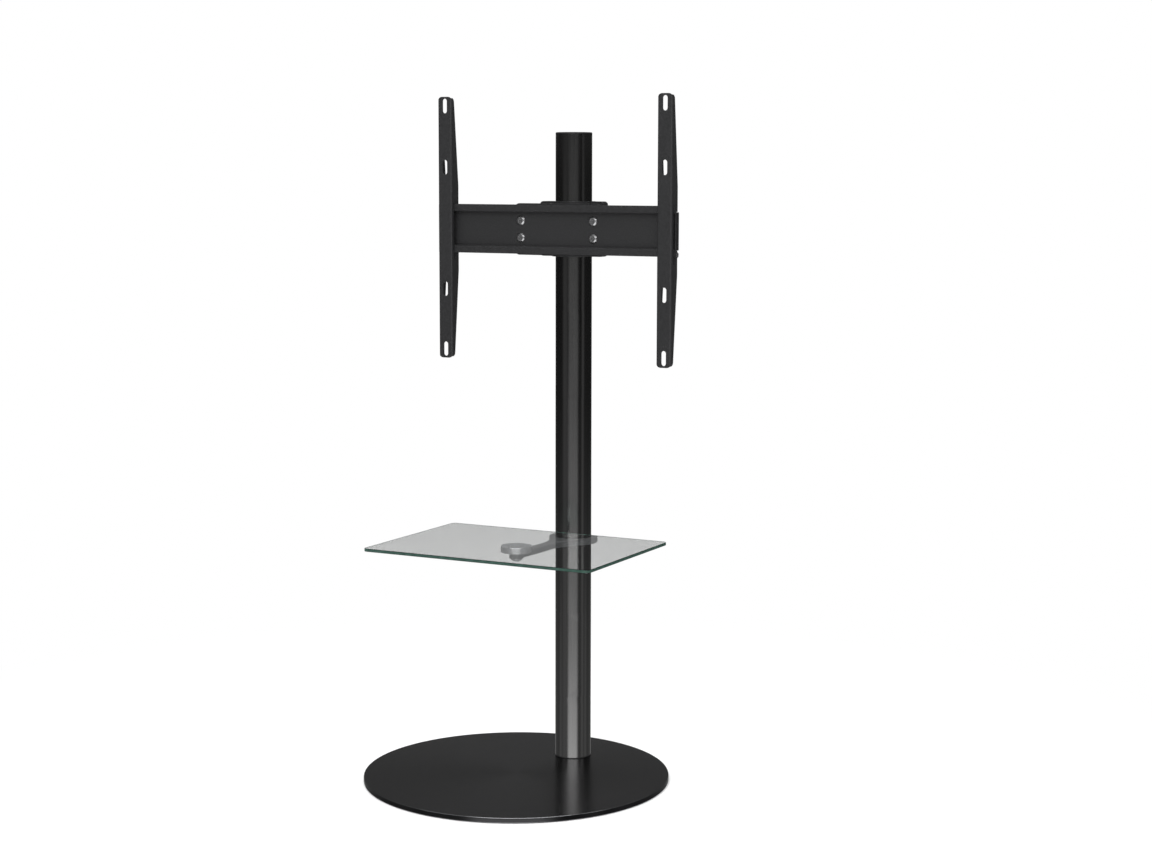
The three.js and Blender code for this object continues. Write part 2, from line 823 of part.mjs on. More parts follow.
// One half of the clamp, in front of the column: a wall round it and two ears for the bolts.
function saddleHalf() {
  const half = saddleHeight / 2;
  const earWidth = 2 * (saddleRadius + clampEarReach);
  const ears = plateOf(roundedRectangle(earWidth, saddleHeight, clampEarRound), clampEarThickness)
    .applyMatrix4(acrossY)
    .translate(0, -saddleSplit / 2, 0);
  const wall = ring(clampBore, saddleRadius, -half, half);
  const behind = block(
    -saddleRadius - overrun, saddleRadius + overrun,
    -saddleSplit / 2, saddleRadius + overrun,
    -half - overrun, half + overrun,
  );
  const boltHole = () => holeAlongY(
    clampBoltDiameter + runGap + runGap, -saddleSplit / 2 - clampEarThickness, -saddleSplit / 2,
  );
  return cut(
    join(cut(wall, behind), ears),
    roundBar(2 * clampBore, -half - overrun, half + overrun, tubeSides),
    ...clampBoltPlaces().map(([x, z]) => boltHole().translate(x, 0, z)),
  );
}

function tiltCheek() {
  const circles = [
    [-pivotReach, 0, cheekNoseRadius],
    [cheekShoulderBack - pivotReach, -cheekShoulderHeight, cheekShoulderRadius],
    [cheekRootBack - pivotReach, -cheekRootHeight, cheekRootRadius],
    [cheekRootBack - pivotReach, cheekRootHeight, cheekRootRadius],
    [cheekShoulderBack - pivotReach, cheekShoulderHeight, cheekShoulderRadius],
  ];
  const slot = arcSlot(
    lockRadius, lockStudDiameter + runGap + runGap, lockAngle - tiltUp, lockAngle + tiltDown,
  );
  const through = cheekThickness + 2 * overrun;
  return cut(
    plateOf(belt(circles), cheekThickness),
    roundBar(pivotBoltDiameter + runGap + runGap, -overrun, through).translate(-pivotReach, 0, 0),
    plateOf(slot, through).translate(-pivotReach, 0, -overrun),
  );
}

function frontSaddle() {
  const cheek = () => geometryFrom(tiltCheek()).applyMatrix4(acrossX);
  return join(
    saddleHalf(),
    cheek().translate(cheekInside, 0, 0),
    cheek().translate(-cheekOutside, 0, 0),
  );
}

function rearSaddle() {
  return geometryFrom(saddleHalf()).rotateZ(Math.PI);
}

function clampBolt() {
  const length = 2 * clampEarFace + seatGap + seatGap + nutHeight + boltTail;
  const screw = socketScrew(
    clampBoltDiameter, length, clampBoltHeadDiameter, clampBoltHeadHeight, clampBoltHeadHeight / 8,
  );
  return pointing.back(screw).translate(0, clampEarFace + seatGap, 0);
}

function clampNut() {
  return pointing.forward(nut(nutAcrossFlats, nutHeight, clampBoltDiameter))
    .translate(0, -clampEarFace - seatGap, 0);
}

function pivotBolt() {
  const seat = earOutside + seatGap;
  const tip = seat + nutHeight + boltTail;
  return pointing.right(join(
    roundBar(pivotBoltDiameter, -seat - seatGap, tip),
    hexBar(nutAcrossFlats, -seat - pivotHeadHeight, -seat),
  )).translate(0, -pivotReach, 0);
}

function makeClamp() {
  const group = new THREE.Group();
  group.add(piece("front_saddle", frontSaddle(), materials.mountPaint));
  group.add(piece("rear_saddle", rearSaddle(), materials.mountPaint));
  clampBoltPlaces().forEach(([x, z], i) => {
    group.add(at(piece(`clamp_bolt_${i + 1}`, clampBolt(), materials.zincPlate), x, 0, z));
    group.add(at(piece(`clamp_nut_${i + 1}`, clampNut(), materials.zincPlate), x, 0, z));
  });
  group.add(piece("tilt_pivot_bolt", pivotBolt(), materials.zincPlate));
  const pivotNut = pointing.right(nut(nutAcrossFlats, nutHeight, pivotBoltDiameter));
  group.add(at(piece("tilt_pivot_nut", pivotNut, materials.zincPlate), earOutside + seatGap, -pivotReach, 0));
  return group;
}

// Tilt bracket, crossbar, rails and knobs: drawn from the pivot

function crossbarBoltPlaces() {
  return [[-1, 1], [1, 1], [-1, -1], [1, -1]].map(([x, z]) => [
    (x * crossbarBoltSpacingX) / 2,
    (z * crossbarBoltSpacingZ) / 2,
  ]);
}

function tiltEar() {
  const foot = plateBack - seatGap;
  const circles = [
    [foot, -earBottom, earCornerRadius],
    [lockY, lockZ, earLockRadius],
    [0, 0, earPivotRadius],
    [foot, earTop, earCornerRadius],
  ];
  const holes = [[0, 0, pivotBoltDiameter], [lockY, lockZ, lockStudDiameter]].map(([y, z, diameter]) =>
    roundBar(diameter + runGap + runGap, -overrun, earThickness + overrun).translate(y, z, 0));
  return geometryFrom(cut(plateOf(belt(circles), earThickness), ...holes)).applyMatrix4(acrossX);
}

function tiltBracket() {
  const plate = plateOf(roundedRectangle(plateWidth, plateHeight, plateRound), plateThickness)
    .applyMatrix4(acrossY)
    .translate(0, plateBack, 0);
  const weldNut = () => pointing.back(hexBar(nutAcrossFlats, -seatGap, nutHeight)).translate(0, plateBack, 0);
  const inFront = block(
    -plateWidth / 2, plateWidth / 2, plateFront - plateThickness, plateFront, -plateHeight / 2, plateHeight / 2,
  );
  const hole = () => holeAlongY(crossbarBoltDiameter + runGap + runGap, plateFront, plateBack + nutHeight);
  return cut(
    join(
      plate,
      tiltEar().translate(earInside, 0, 0),
      tiltEar().translate(-earOutside, 0, 0),
      ...crossbarBoltPlaces().map(([x, z]) => weldNut().translate(x, 0, z)),
    ),
    inFront,
    ...crossbarBoltPlaces().map(([x, z]) => hole().translate(x, 0, z)),
  );
}

// The crossbar's section: a web, two flanges that come forward, and lips that turn up and down from them.
function crossbarSection() {
  const half = crossbarHeight / 2;
  const tip = half + crossbarLip;
  const inner = half - crossbarGauge;
  const upper = [
    [crossbarBack, half],
    [lipBack, half],
    [lipBack, tip],
    [crossbarFront, tip],
    [crossbarFront, inner],
    [crossbarBack - crossbarGauge, inner],
  ];
  const lower = upper.map(([y, z]) => [y, -z]).reverse();
  return new THREE.Shape([...upper, ...lower].map(([y, z]) => new THREE.Vector2(y, z)));
}

function crossbar() {
  const bar = plateOf(crossbarSection(), crossbarLength)
    .applyMatrix4(acrossX)
    .translate(-crossbarLength / 2, 0, 0);
  const hole = () => holeAlongY(crossbarBoltDiameter + runGap + runGap, crossbarFront, crossbarBack);
  return cut(bar, ...crossbarBoltPlaces().map(([x, z]) => hole().translate(x, 0, z)));
}

function crossbarBolt() {
  const seat = crossbarBack - crossbarGauge - seatGap;
  const length = plateBack + nutHeight + boltTail - seat;
  const screw = socketScrew(
    crossbarBoltDiameter, length, crossbarBoltHeadDiameter, crossbarBoltHeadHeight, crossbarBoltHeadHeight,
  );
  return pointing.forward(screw).translate(0, seat, 0);
}

// A plastic end cap for the right end: a cover over the section and a plug between its flanges.
function endCap() {
  const coverPart = (width, height, y) =>
    plateOf(roundedRectangle(width, height, endCapRound, y), endCapThickness);
  const cover = join(
    coverPart(crossbarDepth, crossbarHeight, (crossbarFront + crossbarBack) / 2),
    coverPart(crossbarGauge, crossbarHeight + 2 * crossbarLip, (crossbarFront + lipBack) / 2),
  );
  const inner = crossbarHeight / 2 - crossbarGauge - runGap;
  const plug = block(
    crossbarFront + crossbarGauge, crossbarBack - crossbarGauge - runGap,
    -inner, inner,
    -endCapPlug, endCapThickness / 2,
  );
  return geometryFrom(join(cover, plug)).applyMatrix4(acrossX)
    .translate(crossbarLength / 2 + seatGap, 0, 0);
}

// The side view of a rail: deep round the crossbar, notched for it, with a hook over the upper lip.
function railSideView() {
  const end = railLength / 2;
  const bar = crossbarHeight / 2 + railHookClearance;
  const lip = crossbarHeight / 2 + crossbarLip + railHookClearance;
  const slotBack = lipBack + runGap;
  return new THREE.Shape([
    [railFace, -end],
    [railFace + railEndDepth, -end],
    [railHookBack, -railHookHalfHeight],
    [railHookBack, -bar],
    [slotBack, -bar],
    [slotBack, -lip - railLift],
    [railNotch, -lip - railLift],
    [railNotch, lip],
    [slotBack, lip],
    [slotBack, bar],
    [railHookBack, bar],
    [railHookBack, railHookHalfHeight],
    [railFace + railEndDepth, end],
    [railFace, end],
  ].map(([y, z]) => new THREE.Vector2(y, z)));
}

const railBoltY = (lipBack + runGap + railHookBack) / 2;
const railBoltZ = -crossbarHeight / 2 - railBoltDrop;

function rail() {
  const sides = plateOf(railSideView(), railWidth)
    .applyMatrix4(acrossX)
    .translate(-railWidth / 2, 0, 0);
  const depth = railHookBack - railFace;
  const rounding = plateOf(roundedRectangle(railWidth, railLength, railEndRound), depth + 2 * overrun)
    .applyMatrix4(acrossY)
    .translate(0, railHookBack + overrun, 0);
  const inside = railWidth / 2 - railGauge;
  const hollow = block(
    -inside, inside, railWebBack, railHookBack + overrun, -railLength / 2 - overrun, railLength / 2 + overrun,
  );
  const slot = () => plateOf(uprightSlot(slotWidth, slotHeight), railGauge + 2 * overrun)
    .applyMatrix4(acrossY)
    .translate(0, railWebBack + overrun, 0);
  const boltHole = pointing.right(roundBar(
    railBoltDiameter + runGap + runGap, -railWidth / 2 - overrun, railWidth / 2 + overrun,
  )).translate(0, railBoltY, railBoltZ);
  return cut(
    common(sides, rounding),
    hollow,
    boltHole,
    ...slotHeights.map((height) => slot().translate(0, 0, height)),
  );
}

// The bolt across a rail, behind the crossbar's lower lip. Its head is on the left.
function railLockBolt() {
  const seat = railWidth / 2 + seatGap;
  const bolt = join(
    roundBar(railBoltDiameter, -seat - seatGap, seat + railNutHeight + seatGap),
    hexBar(railNutAcrossFlats, -seat - railBoltHeadHeight, -seat),
  );
  return pointing.right(bolt).translate(0, railBoltY, railBoltZ);
}

function railLockNut() {
  return pointing.right(nut(railNutAcrossFlats, railNutHeight, railBoltDiameter))
    .translate(railWidth / 2 + seatGap, railBoltY, railBoltZ);
}

// The right knob's stud, with its flat round head inside the cheek.
function lockStud() {
  const seat = cheekInside - seatGap;
  const tip = knobInside + knobHubHeight + studReach;
  return pointing.right(join(
    roundBar(lockStudDiameter, seat - seatGap, tip),
    turned([
      [0, seat - lockHeadHeight],
      [lockStudDiameter / 2, seat - lockHeadHeight],
      [lockHeadDiameter / 2, seat - lockHeadHeight / 2],
      [lockHeadDiameter / 2, seat],
      [0, seat],
    ], pinSides),
  ));
}

// The right knob: a hub and a lobed grip, whose radius swings with the cosine of the angle.
function lockKnob() {
  const radius = knobDiameter / 2 - knobLobeDepth / 2;
  const outline = Array.from({ length: knobLobes * knobPointsPerLobe }, (_, i) => {
    const angle = (i / (knobLobes * knobPointsPerLobe)) * 2 * Math.PI;
    const reach = radius + (knobLobeDepth / 2) * Math.cos(knobLobes * angle);
    return new THREE.Vector2(reach * Math.cos(angle), reach * Math.sin(angle));
  });
  const gripBottom = knobInside + knobHubHeight;
  const grip = plateOf(new THREE.Shape(outline), knobThickness, knobEdge).translate(0, 0, gripBottom);
  const hub = roundBar(knobHubDiameter, knobInside, gripBottom + knobEdge, discSides);
  const hole = roundBar(
    lockStudDiameter + runGap + runGap, knobInside - overrun, gripBottom + studReach + runGap,
  );
  return pointing.right(cut(join(grip, hub), hole));
}

function makeRail(name, x) {
  const group = new THREE.Group();
  group.add(piece(`rail_${name}`, rail(), materials.mountPaint));
  group.add(piece(`rail_lock_bolt_${name}`, railLockBolt(), materials.zincPlate));
  group.add(piece(`rail_lock_nut_${name}`, railLockNut(), materials.zincPlate));
  return at(group, x, 0, 0);
}

function makeTiltingHead() {
  const group = new THREE.Group();
  group.add(piece("tilt_bracket", tiltBracket(), materials.mountPaint));
  group.add(piece("crossbar", crossbar(), materials.mountPaint));
  crossbarBoltPlaces().forEach(([x, z], i) => {
    group.add(at(piece(`crossbar_bolt_${i + 1}`, crossbarBolt(), materials.zincPlate), x, 0, z));
  });
  const turnedRound = (shape) => geometryFrom(shape).rotateZ(Math.PI);
  const mirrored = (shape) => solidFrom(shape).mirror([1, 0, 0]);
  group.add(piece("crossbar_end_cap_right", endCap(), materials.blackPlastic));
  group.add(piece("crossbar_end_cap_left", mirrored(endCap()), materials.blackPlastic));
  group.add(at(piece("tilt_lock_stud_right", lockStud(), materials.zincPlate), 0, lockY, lockZ));
  group.add(at(piece("tilt_lock_stud_left", turnedRound(lockStud()), materials.zincPlate), 0, lockY, lockZ));
  group.add(at(piece("tilt_knob_right", lockKnob(), materials.blackPlastic), 0, lockY, lockZ));
  group.add(at(piece("tilt_knob_left", mirrored(lockKnob()), materials.blackPlastic), 0, lockY, lockZ));
  group.add(makeRail("left", -patternSpacing / 2));
  group.add(makeRail("right", patternSpacing / 2));
  return at(group, 0, -pivotReach, 0);
}

function makeColumn() {
  const group = new THREE.Group();
  group.add(piece("column_tube", columnTube(), materials.columnSteel));
  group.add(piece("column_cap", columnCap(), materials.blackPlastic));
  group.add(piece("lower_grommet", grommet(lowerHoleHeight), materials.blackRubber));
  group.add(piece("upper_grommet", grommet(upperHoleHeight), materials.blackRubber));
  group.add(piece("swivel_stop_screw", stopScrew(), materials.zincPlate));
  const mount = at(new THREE.Group(), 0, 0, mountHeight);
  mount.add(makeClamp(), makeTiltingHead());
  group.add(makeShelf(), mount);
  return at(group, columnOffset * Math.sin(restTurn * degree), columnOffset * Math.cos(restTurn * degree), 0);
}

const stand = new THREE.Group();
stand.name = "stand";
stand.add(makeBase(), makeColumn());

export default stand;
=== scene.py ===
"""A floor stand: a round steel base, a brushed column, a glass shelf and a tilting mount with two rails."""

import math
from functools import partial

import bmesh
import bpy
import numpy as np
from mathutils import Matrix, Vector
from mathutils.geometry import tessellate_polygon


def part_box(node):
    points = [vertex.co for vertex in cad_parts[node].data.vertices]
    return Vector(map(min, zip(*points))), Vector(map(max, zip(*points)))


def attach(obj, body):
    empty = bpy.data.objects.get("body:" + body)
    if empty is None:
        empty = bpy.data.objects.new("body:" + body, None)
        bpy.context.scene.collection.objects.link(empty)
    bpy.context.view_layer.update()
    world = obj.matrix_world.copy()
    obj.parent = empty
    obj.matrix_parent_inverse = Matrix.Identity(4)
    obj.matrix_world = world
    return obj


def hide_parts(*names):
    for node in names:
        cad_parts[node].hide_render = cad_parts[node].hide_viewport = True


bl_info = {
    "name": "Column Stand With Shelf And Mount",
    "version": (1, 0, 0),
    "blender": (4, 5, 0),
    "location": "3D View > Sidebar > Stand",
    "description": "Builds the finished surfaces of a column stand, its glass shelf and its mount",
    "category": "Add Mesh",
}

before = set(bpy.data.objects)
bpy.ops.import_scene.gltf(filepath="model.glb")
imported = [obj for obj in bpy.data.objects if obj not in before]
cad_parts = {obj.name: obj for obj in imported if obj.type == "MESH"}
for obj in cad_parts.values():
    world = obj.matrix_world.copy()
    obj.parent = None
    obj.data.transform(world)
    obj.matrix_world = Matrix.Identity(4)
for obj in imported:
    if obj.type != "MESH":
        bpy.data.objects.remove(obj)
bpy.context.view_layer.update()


def low(node):
    return np.array(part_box(node)[0])


def high(node):
    return np.array(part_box(node)[1])


def middle(node):
    return (low(node) + high(node)) / 2


def extent(node):
    return high(node) - low(node)


def ends(node, axis, origin=(0, 0, 0)):
    """Where a node starts and ends along an axis, from an origin."""
    return low(node)[axis] - origin[axis], high(node)[axis] - origin[axis]


def numbered(name, count):
    return [f"{name}_{i}" for i in range(1, count + 1)]


# Main places, taken from the frame

AXIS = middle("column_tube")[:2]
AXIS_FOOT = (*AXIS, 0)
DISC_CENTRE = middle("base_disc")[:2]
COLUMN_RADIUS = extent("column_tube")[0] / 2
PIVOT = np.array([AXIS[0], *middle("tilt_pivot_nut")[1:]])
MOUNT = np.array([*AXIS, middle("front_saddle")[2]])
LOCK = middle("tilt_lock_stud_left")[1:] - PIVOT[1:]
PAD_AXIS = middle("shelf_pad")[:2]
FOOT_PADS, FOOT_SCREWS = numbered("foot_pad", 6), numbered("foot_screw", 4)
GROMMETS = ("lower_grommet", "upper_grommet")

# Steps of the curves, and the rounding of edges in metres

ARC_STEPS = 4
ROUND_SIDES = 96
SMALL_SIDES = 48
DISC_SIDES = 256
KNOB_SIDES = 120
THREAD_STEPS = 8
FINE_EDGE = 0.0004
SHEET_EDGE = 0.0005
CAST_EDGE = 0.0012

# Sizes that the frame's boxes don't give, in metres. A pair is a radius and a height unless it says more.

RUN_GAP = 0.0003
SEAT_GAP = 0.0001
THREAD_DEPTH = 0.54  # of the pitch
SOCKET = 0.5  # from the axis to the socket's flats, of the head's radius
SOCKET_CORNER = 1.16  # beyond the socket's corners, of the way to its flats
SOCKET_DEPTH = 0.4  # of the head's height
SOCKET_RIM = (1.25, 1.2, 1.04)  # where a head's face ends and its rim starts, and the rim's flats, of the socket's
HEX_CHAMFER = (0.97, 0.6)  # where it starts, of half the flats, and its drop, of what the corners stand out
DISC_EASE = (0.0006, 0.0017)
PAD_RECESS = 0.0022
FOOT_SCREW_HEAD = 0.008
FOOT_SCREW_SHANK = 0.004
FOOT_SCREW_SOCKET = 0.6  # its depth, of the cone's
WASHER_BORE = 0.92  # of the outer radius
TUBE_WALL = 0.002
CABLE_HOLE = (0.026, 0.046)  # width and height
PIERCED_MARGIN = 1.6  # half the height of a pierced stretch, of the hole's height
GROMMET_LIP = 0.0035
GROMMET_WALL = 0.003
GROMMET_SKIN = 0.0016
STOP_SCREW_SHANK = 0.003
STOP_SCREW_HEAD = 0.003

SHELF_CORNER = 0.008
GLASS_ARRIS = 0.0006
GROUND_SLOPE = 0.1  # the glass is ground where its normal has less than this along Z
COLLAR_RADIUS = 0.0405
COLLAR_HEIGHT = 0.010
COLLAR_BORE = 0.0303
ARM_HALF_WIDTH = 0.0095
ARM_THICKNESS = 0.009
ARM_RISE = 0.003
ARM_FLARE = 0.130
BOSS_RADIUS = 0.0115
BOSS_PROUD = 0.0005
ARM_START = (0.6, 0.8)  # where the arm starts to thin, and over which length, of the collar's radius
SET_SCREW_ANGLE = math.radians(35)
SET_SCREW_RADIUS = 0.003
PAD_CHAMFER = 0.0005
SHELF_SCREW_SHANK = 0.005
SHELF_SCREW_HEAD = 0.006
SHELF_SCREW_SOCKET = 0.38

M8_RADIUS, M8_PITCH, M8_FLATS, M8_NUT = 0.004, 0.00125, 0.013, 0.0065
M5_RADIUS, M5_PITCH, M5_FLATS = 0.0025, 0.0008, 0.008
CAP_HEAD = (0.0065, 0.008)
CROSSBAR_HEAD = (0.008, 0.004)
LOCK_HEAD = (0.006, 0.003)
SADDLE_BORE = 0.0303
SADDLE_WALL = 0.006
SADDLE_EDGE = SHEET_EDGE * 1.6
SADDLE_SPLIT = 0.001
EAR_THICKNESS = 0.008
EAR_ROUND = 0.006
CHEEK = (0.030, 0.036)  # from and to, along X
CHEEK_CIRCLES = (
    (0.0, 0.0, 0.008), (0.010, -0.030, 0.008), (0.032, -0.038, 0.004), (0.032, 0.038, 0.004), (0.010, 0.030, 0.008),
)
CHEEK_WELD = 0.036
WELD_BEAD = 0.0016
EAR_WELD = WELD_BEAD * 0.8
WELD_RIPPLE = 0.0022
WELD_SWELL = 0.12  # of the bead
TILT_SPAN = (math.radians(-5), math.radians(12))
TILT_EAR = (0.0364, 0.0404)  # from and to, along X
TILT_EAR_TOP = 0.022
TILT_EAR_BOTTOM = -0.034
TILT_EAR_PIVOT = 0.010
TILT_EAR_LOCK = 0.0085
TILT_EAR_CORNER = 0.002
PLATE_THICKNESS = 0.0036
PLATE_ROUND = 0.010
CROSSBAR_BOLT = (0.066, 0.014)  # places along X and Z
CROSSBAR_GAUGE = 0.0025
CROSSBAR_HALF = 0.030
CROSSBAR_BEND = 0.0030
END_CAP_EDGE = 0.0009
END_CAP_CORNER = 0.001
KNOB_LOBES = 5
KNOB_LOBE_DEPTH = 0.0016
KNOB_HUB = (0.0085, 0.005)
KNOB_GRIP = 0.0125
KNOB_EDGE = 0.0018
KNOB_DISH = 0.0006
KNOB_DISH_RIM = (0.62, 0.52)  # from and to, of the grip's radius

RAIL_GAUGE = 0.0025
RAIL_BEND = 0.0030
RAIL_END_ROUND = 0.008
RAIL_END_DEPTH = 0.008
RAIL_HOOK_REACH = 0.070
RAIL_LIFT = 0.012
RAIL_GAP = 0.0005
NOTCH_ROUND = 0.0008
SLOT = (0.0086, 0.024)  # width and height
SLOT_PATTERN = 0.400
SLOT_SHARES = (-0.5, -0.25, 0.25, 0.5)
TOOL_REACH = 0.1  # half the length of a cutting tool

# The floor's size, and the distances over which it turns into the backdrop's white, in metres

FLOOR_RADIUS = 30.0
FLOOR_FADE = (0.45, 1.30)


def grain_size(name, description, default, least):
    return bpy.props.FloatProperty(
        name=name, description=description, default=default, min=least, subtype="DISTANCE", unit="LENGTH")


def colour(name, description, default):
    return bpy.props.FloatVectorProperty(
        name=name, description=description, default=default, subtype="COLOR", min=0, max=1)


def brightness(name, description, default):
    return bpy.props.FloatProperty(name=name, description=description, default=default, min=0)


class StandSizes(bpy.types.PropertyGroup):
    """Sizes of the finish that a user would change."""

    brushing_spacing: grain_size(
        "Brushing Spacing", "Distance between the fine lines of the brushed steel", 0.00035, 0.00005)
    cast_grain: grain_size("Cast Grain", "Size of the grain on the painted casting", 0.0006, 0.0001)
    coat_grain: grain_size("Powder Coat Grain", "Size of the orange peel on the mount's powder coat", 0.0009, 0.0001)


class StandColours(bpy.types.PropertyGroup):
    """Colours of the finishes."""

    base_steel: colour("Base Steel", "Dark brushed steel of the base disc", (0.086, 0.086, 0.089))
    column_steel: colour("Column Steel", "Dark brushed steel of the column", (0.190, 0.189, 0.188))
    cast_paint: colour("Cast Paint", "Grey paint of the shelf's bracket", (0.132, 0.135, 0.140))
    powder_coat: colour("Powder Coat", "Black coat of the mount", (0.019, 0.019, 0.020))
    glass_tint: colour("Glass Tint", "Colour that a long way through the glass keeps", (0.10, 0.62, 0.42))
    glass_side: colour("Glass Side", "Colour of the shelf's ground sides", (0.037, 0.079, 0.063))


class StandStage(bpy.types.PropertyGroup):
    """Camera, background and lamps."""

    camera_place: bpy.props.FloatVectorProperty(
        name="Camera Place", description="Where the camera stands, from the base disc's centre on the floor",
        default=(1.6380, -2.9497, 0.9870), subtype="TRANSLATION", unit="LENGTH")
    camera_turn: bpy.props.FloatVectorProperty(
        name="Camera Turn", description="Pitch, roll and heading of the camera",
        default=(math.radians(82.995), math.radians(-0.103), math.radians(27.410)), subtype="EULER", unit="ROTATION")
    lens: bpy.props.FloatProperty(
        name="Lens", description="Focal length on a sensor 36 mm wide", default=65.867, min=10, unit="CAMERA")
    walls: brightness("Walls", "Brightness of the studio's walls as metal and glass reflect them", 0.095)
    front_box: brightness(
        "Front Softbox", "Brightness of the large softbox beside the camera, as metal and glass reflect it", 2.9)
    overhead: brightness(
        "Overhead Softbox", "Brightness of the softbox over the stand, as metal and glass reflect it", 0.75)
    floor_bounce: brightness(
        "Floor Bounce", "Share of the softbox's light that its patch of the floor gives back in reflections", 0.225)
    fill: brightness("Fill", "Brightness of the light that reaches matt surfaces from all round", 0.80)


# Curves


def unit(vectors):
    return vectors / np.linalg.norm(vectors, axis=-1, keepdims=True)


def arc(centre, radius, start, end, steps):
    """Points centre + radius (cos t, sin t), with t running evenly from start to end."""
    t = np.linspace(start, end, steps + 1)
    return np.asarray(centre) + radius * np.stack([np.cos(t), np.sin(t)], -1)


def ring(radius, sides=SMALL_SIDES, centre=(0, 0)):
    return arc(centre, radius, 0, 2 * math.pi, sides)[:-1]


def rounded(corners, radii, steps=ARC_STEPS):
    """A closed outline with each corner cut by an arc that touches both of its sides.

    The arc's centre lies on the corner's bisector at radius / sin(half the corner), and its points are the
    spherical mean of the directions to the two touching points.
    """
    corners = np.asarray(corners, float)
    radii = np.broadcast_to(np.asarray(radii, float), len(corners))[:, None]
    back = unit(np.roll(corners, 1, 0) - corners)
    ahead = unit(np.roll(corners, -1, 0) - corners)
    half = np.arccos(np.clip((back * ahead).sum(-1), -1, 1))[:, None] / 2
    centre = corners + unit(back + ahead) * radii / np.sin(half)
    first = corners + back * radii / np.tan(half) - centre
    last = corners + ahead * radii / np.tan(half) - centre
    sweep = math.pi - 2 * half[:, :, None]
    t = np.linspace(0, 1, steps + 1)[None, :, None]
    arcs = (first[:, None] * np.sin((1 - t) * sweep) + last[:, None] * np.sin(t * sweep)) / np.sin(sweep)
    return (centre[:, None] + arcs).reshape(-1, 2)


def belt(circles, steps=12):
    """The outline of a belt drawn tight round circles (x, y, radius), given counterclockwise.

    Each straight run touches two circles, and its normal turns from their line of centres by
    arccos((first radius - second radius) / distance).
    """
    circles = np.asarray(circles, float)
    ahead = np.roll(circles, -1, 0) - circles
    leave = np.arctan2(ahead[:, 1], ahead[:, 0]) - np.arccos(-ahead[:, 2] / np.hypot(ahead[:, 0], ahead[:, 1]))
    meet = np.roll(leave, 1)
    t = meet[:, None] + ((leave - meet) % (2 * math.pi))[:, None] * np.linspace(0, 1, steps + 1)
    reach = circles[:, 2, None]
    points = np.stack([circles[:, 0, None] + reach * np.cos(t), circles[:, 1, None] + reach * np.sin(t)], -1)
    return points.reshape(-1, 2)


def rectangle(width, height, radius, centre=(0, 0)):
    """A belt round four circles, one in each corner of a rectangle."""
    x, y = width / 2 - radius, height / 2 - radius
    return belt([(-x, -y, radius), (x, -y, radius), (x, y, radius), (-x, y, radius)]) + np.asarray(centre)


def obround(width, height, centre=(0, 0)):
    """An upright slot with half-round ends."""
    reach = height / 2 - width / 2
    return belt([(0, -reach, width / 2), (0, reach, width / 2)], 24) + np.asarray(centre)


def arc_slot(radius, width, start, end):
    """A slot of even width along an arc about the origin: an outer arc, a half-round end, the inner arc back."""
    half, steps = width / 2, 16
    root, tip = (radius * np.array([math.cos(t), math.sin(t)]) for t in (start, end))
    return np.vstack([
        arc((0, 0), radius + half, start, end, steps),
        arc(tip, half, end, end + math.pi, steps)[1:],
        arc((0, 0), radius - half, end, start, steps)[1:],
        arc(root, half, start + math.pi, start + 2 * math.pi, steps)[1:-1],
    ])


# Surfaces


class Shell:
    """Points in metres and the quads and triangles between them."""

    def __init__(self, points, quads=(), triangles=()):
        self.points = np.asarray(points, float).reshape(-1, 3)
        self.quads = np.asarray(quads, int).reshape(-1, 4)
        self.triangles = np.asarray(triangles, int).reshape(-1, 3)

    def __add__(self, other):
        shift = len(self.points)
        return Shell(np.vstack([self.points, other.points]), np.vstack([self.quads, other.quads + shift]),
                     np.vstack([self.triangles, other.triangles + shift]))

    def moved(self, x=0.0, y=0.0, z=0.0):
        return Shell(self.points + np.array([x, y, z]), self.quads, self.triangles)

    def turned(self, rows):
        """The rows of the matrix are the new directions of X, Y and Z."""
        return Shell(self.points @ np.asarray(rows, float), self.quads, self.triangles)

    def spun(self, angle):
        """Turned about Z."""
        c, s = math.cos(angle), math.sin(angle)
        return self.turned([(c, s, 0), (-s, c, 0), (0, 0, 1)])

    def mirrored(self):
        """Mirrored in x = 0, with each face turned round again."""
        return Shell(self.points * (-1, 1, 1), self.quads[:, ::-1], self.triangles[:, ::-1])


# Directions for a shape drawn flat, or made along Z: its own X, Y and Z in the frame
TO_RIGHT = [(0, 1, 0), (0, 0, 1), (1, 0, 0)]
TO_FRONT = [(1, 0, 0), (0, 0, 1), (0, -1, 0)]
TO_BACK = [(-1, 0, 0), (0, 0, 1), (0, 1, 0)]
UPSIDE_DOWN = [(1, 0, 0), (0, -1, 0), (0, 0, -1)]


def grid(points, rows_close=False):
    """A rows x columns x 3 array of points as quads between neighbours. Each row is a closed loop."""
    rows, columns = points.shape[:2]
    i, j = np.meshgrid(np.arange(rows if rows_close else rows - 1), np.arange(columns), indexing="ij")
    below, beside = (i + 1) % rows, (j + 1) % columns
    quads = np.stack([i * columns + j, i * columns + beside, below * columns + beside, below * columns + j], -1)
    return Shell(points, quads)


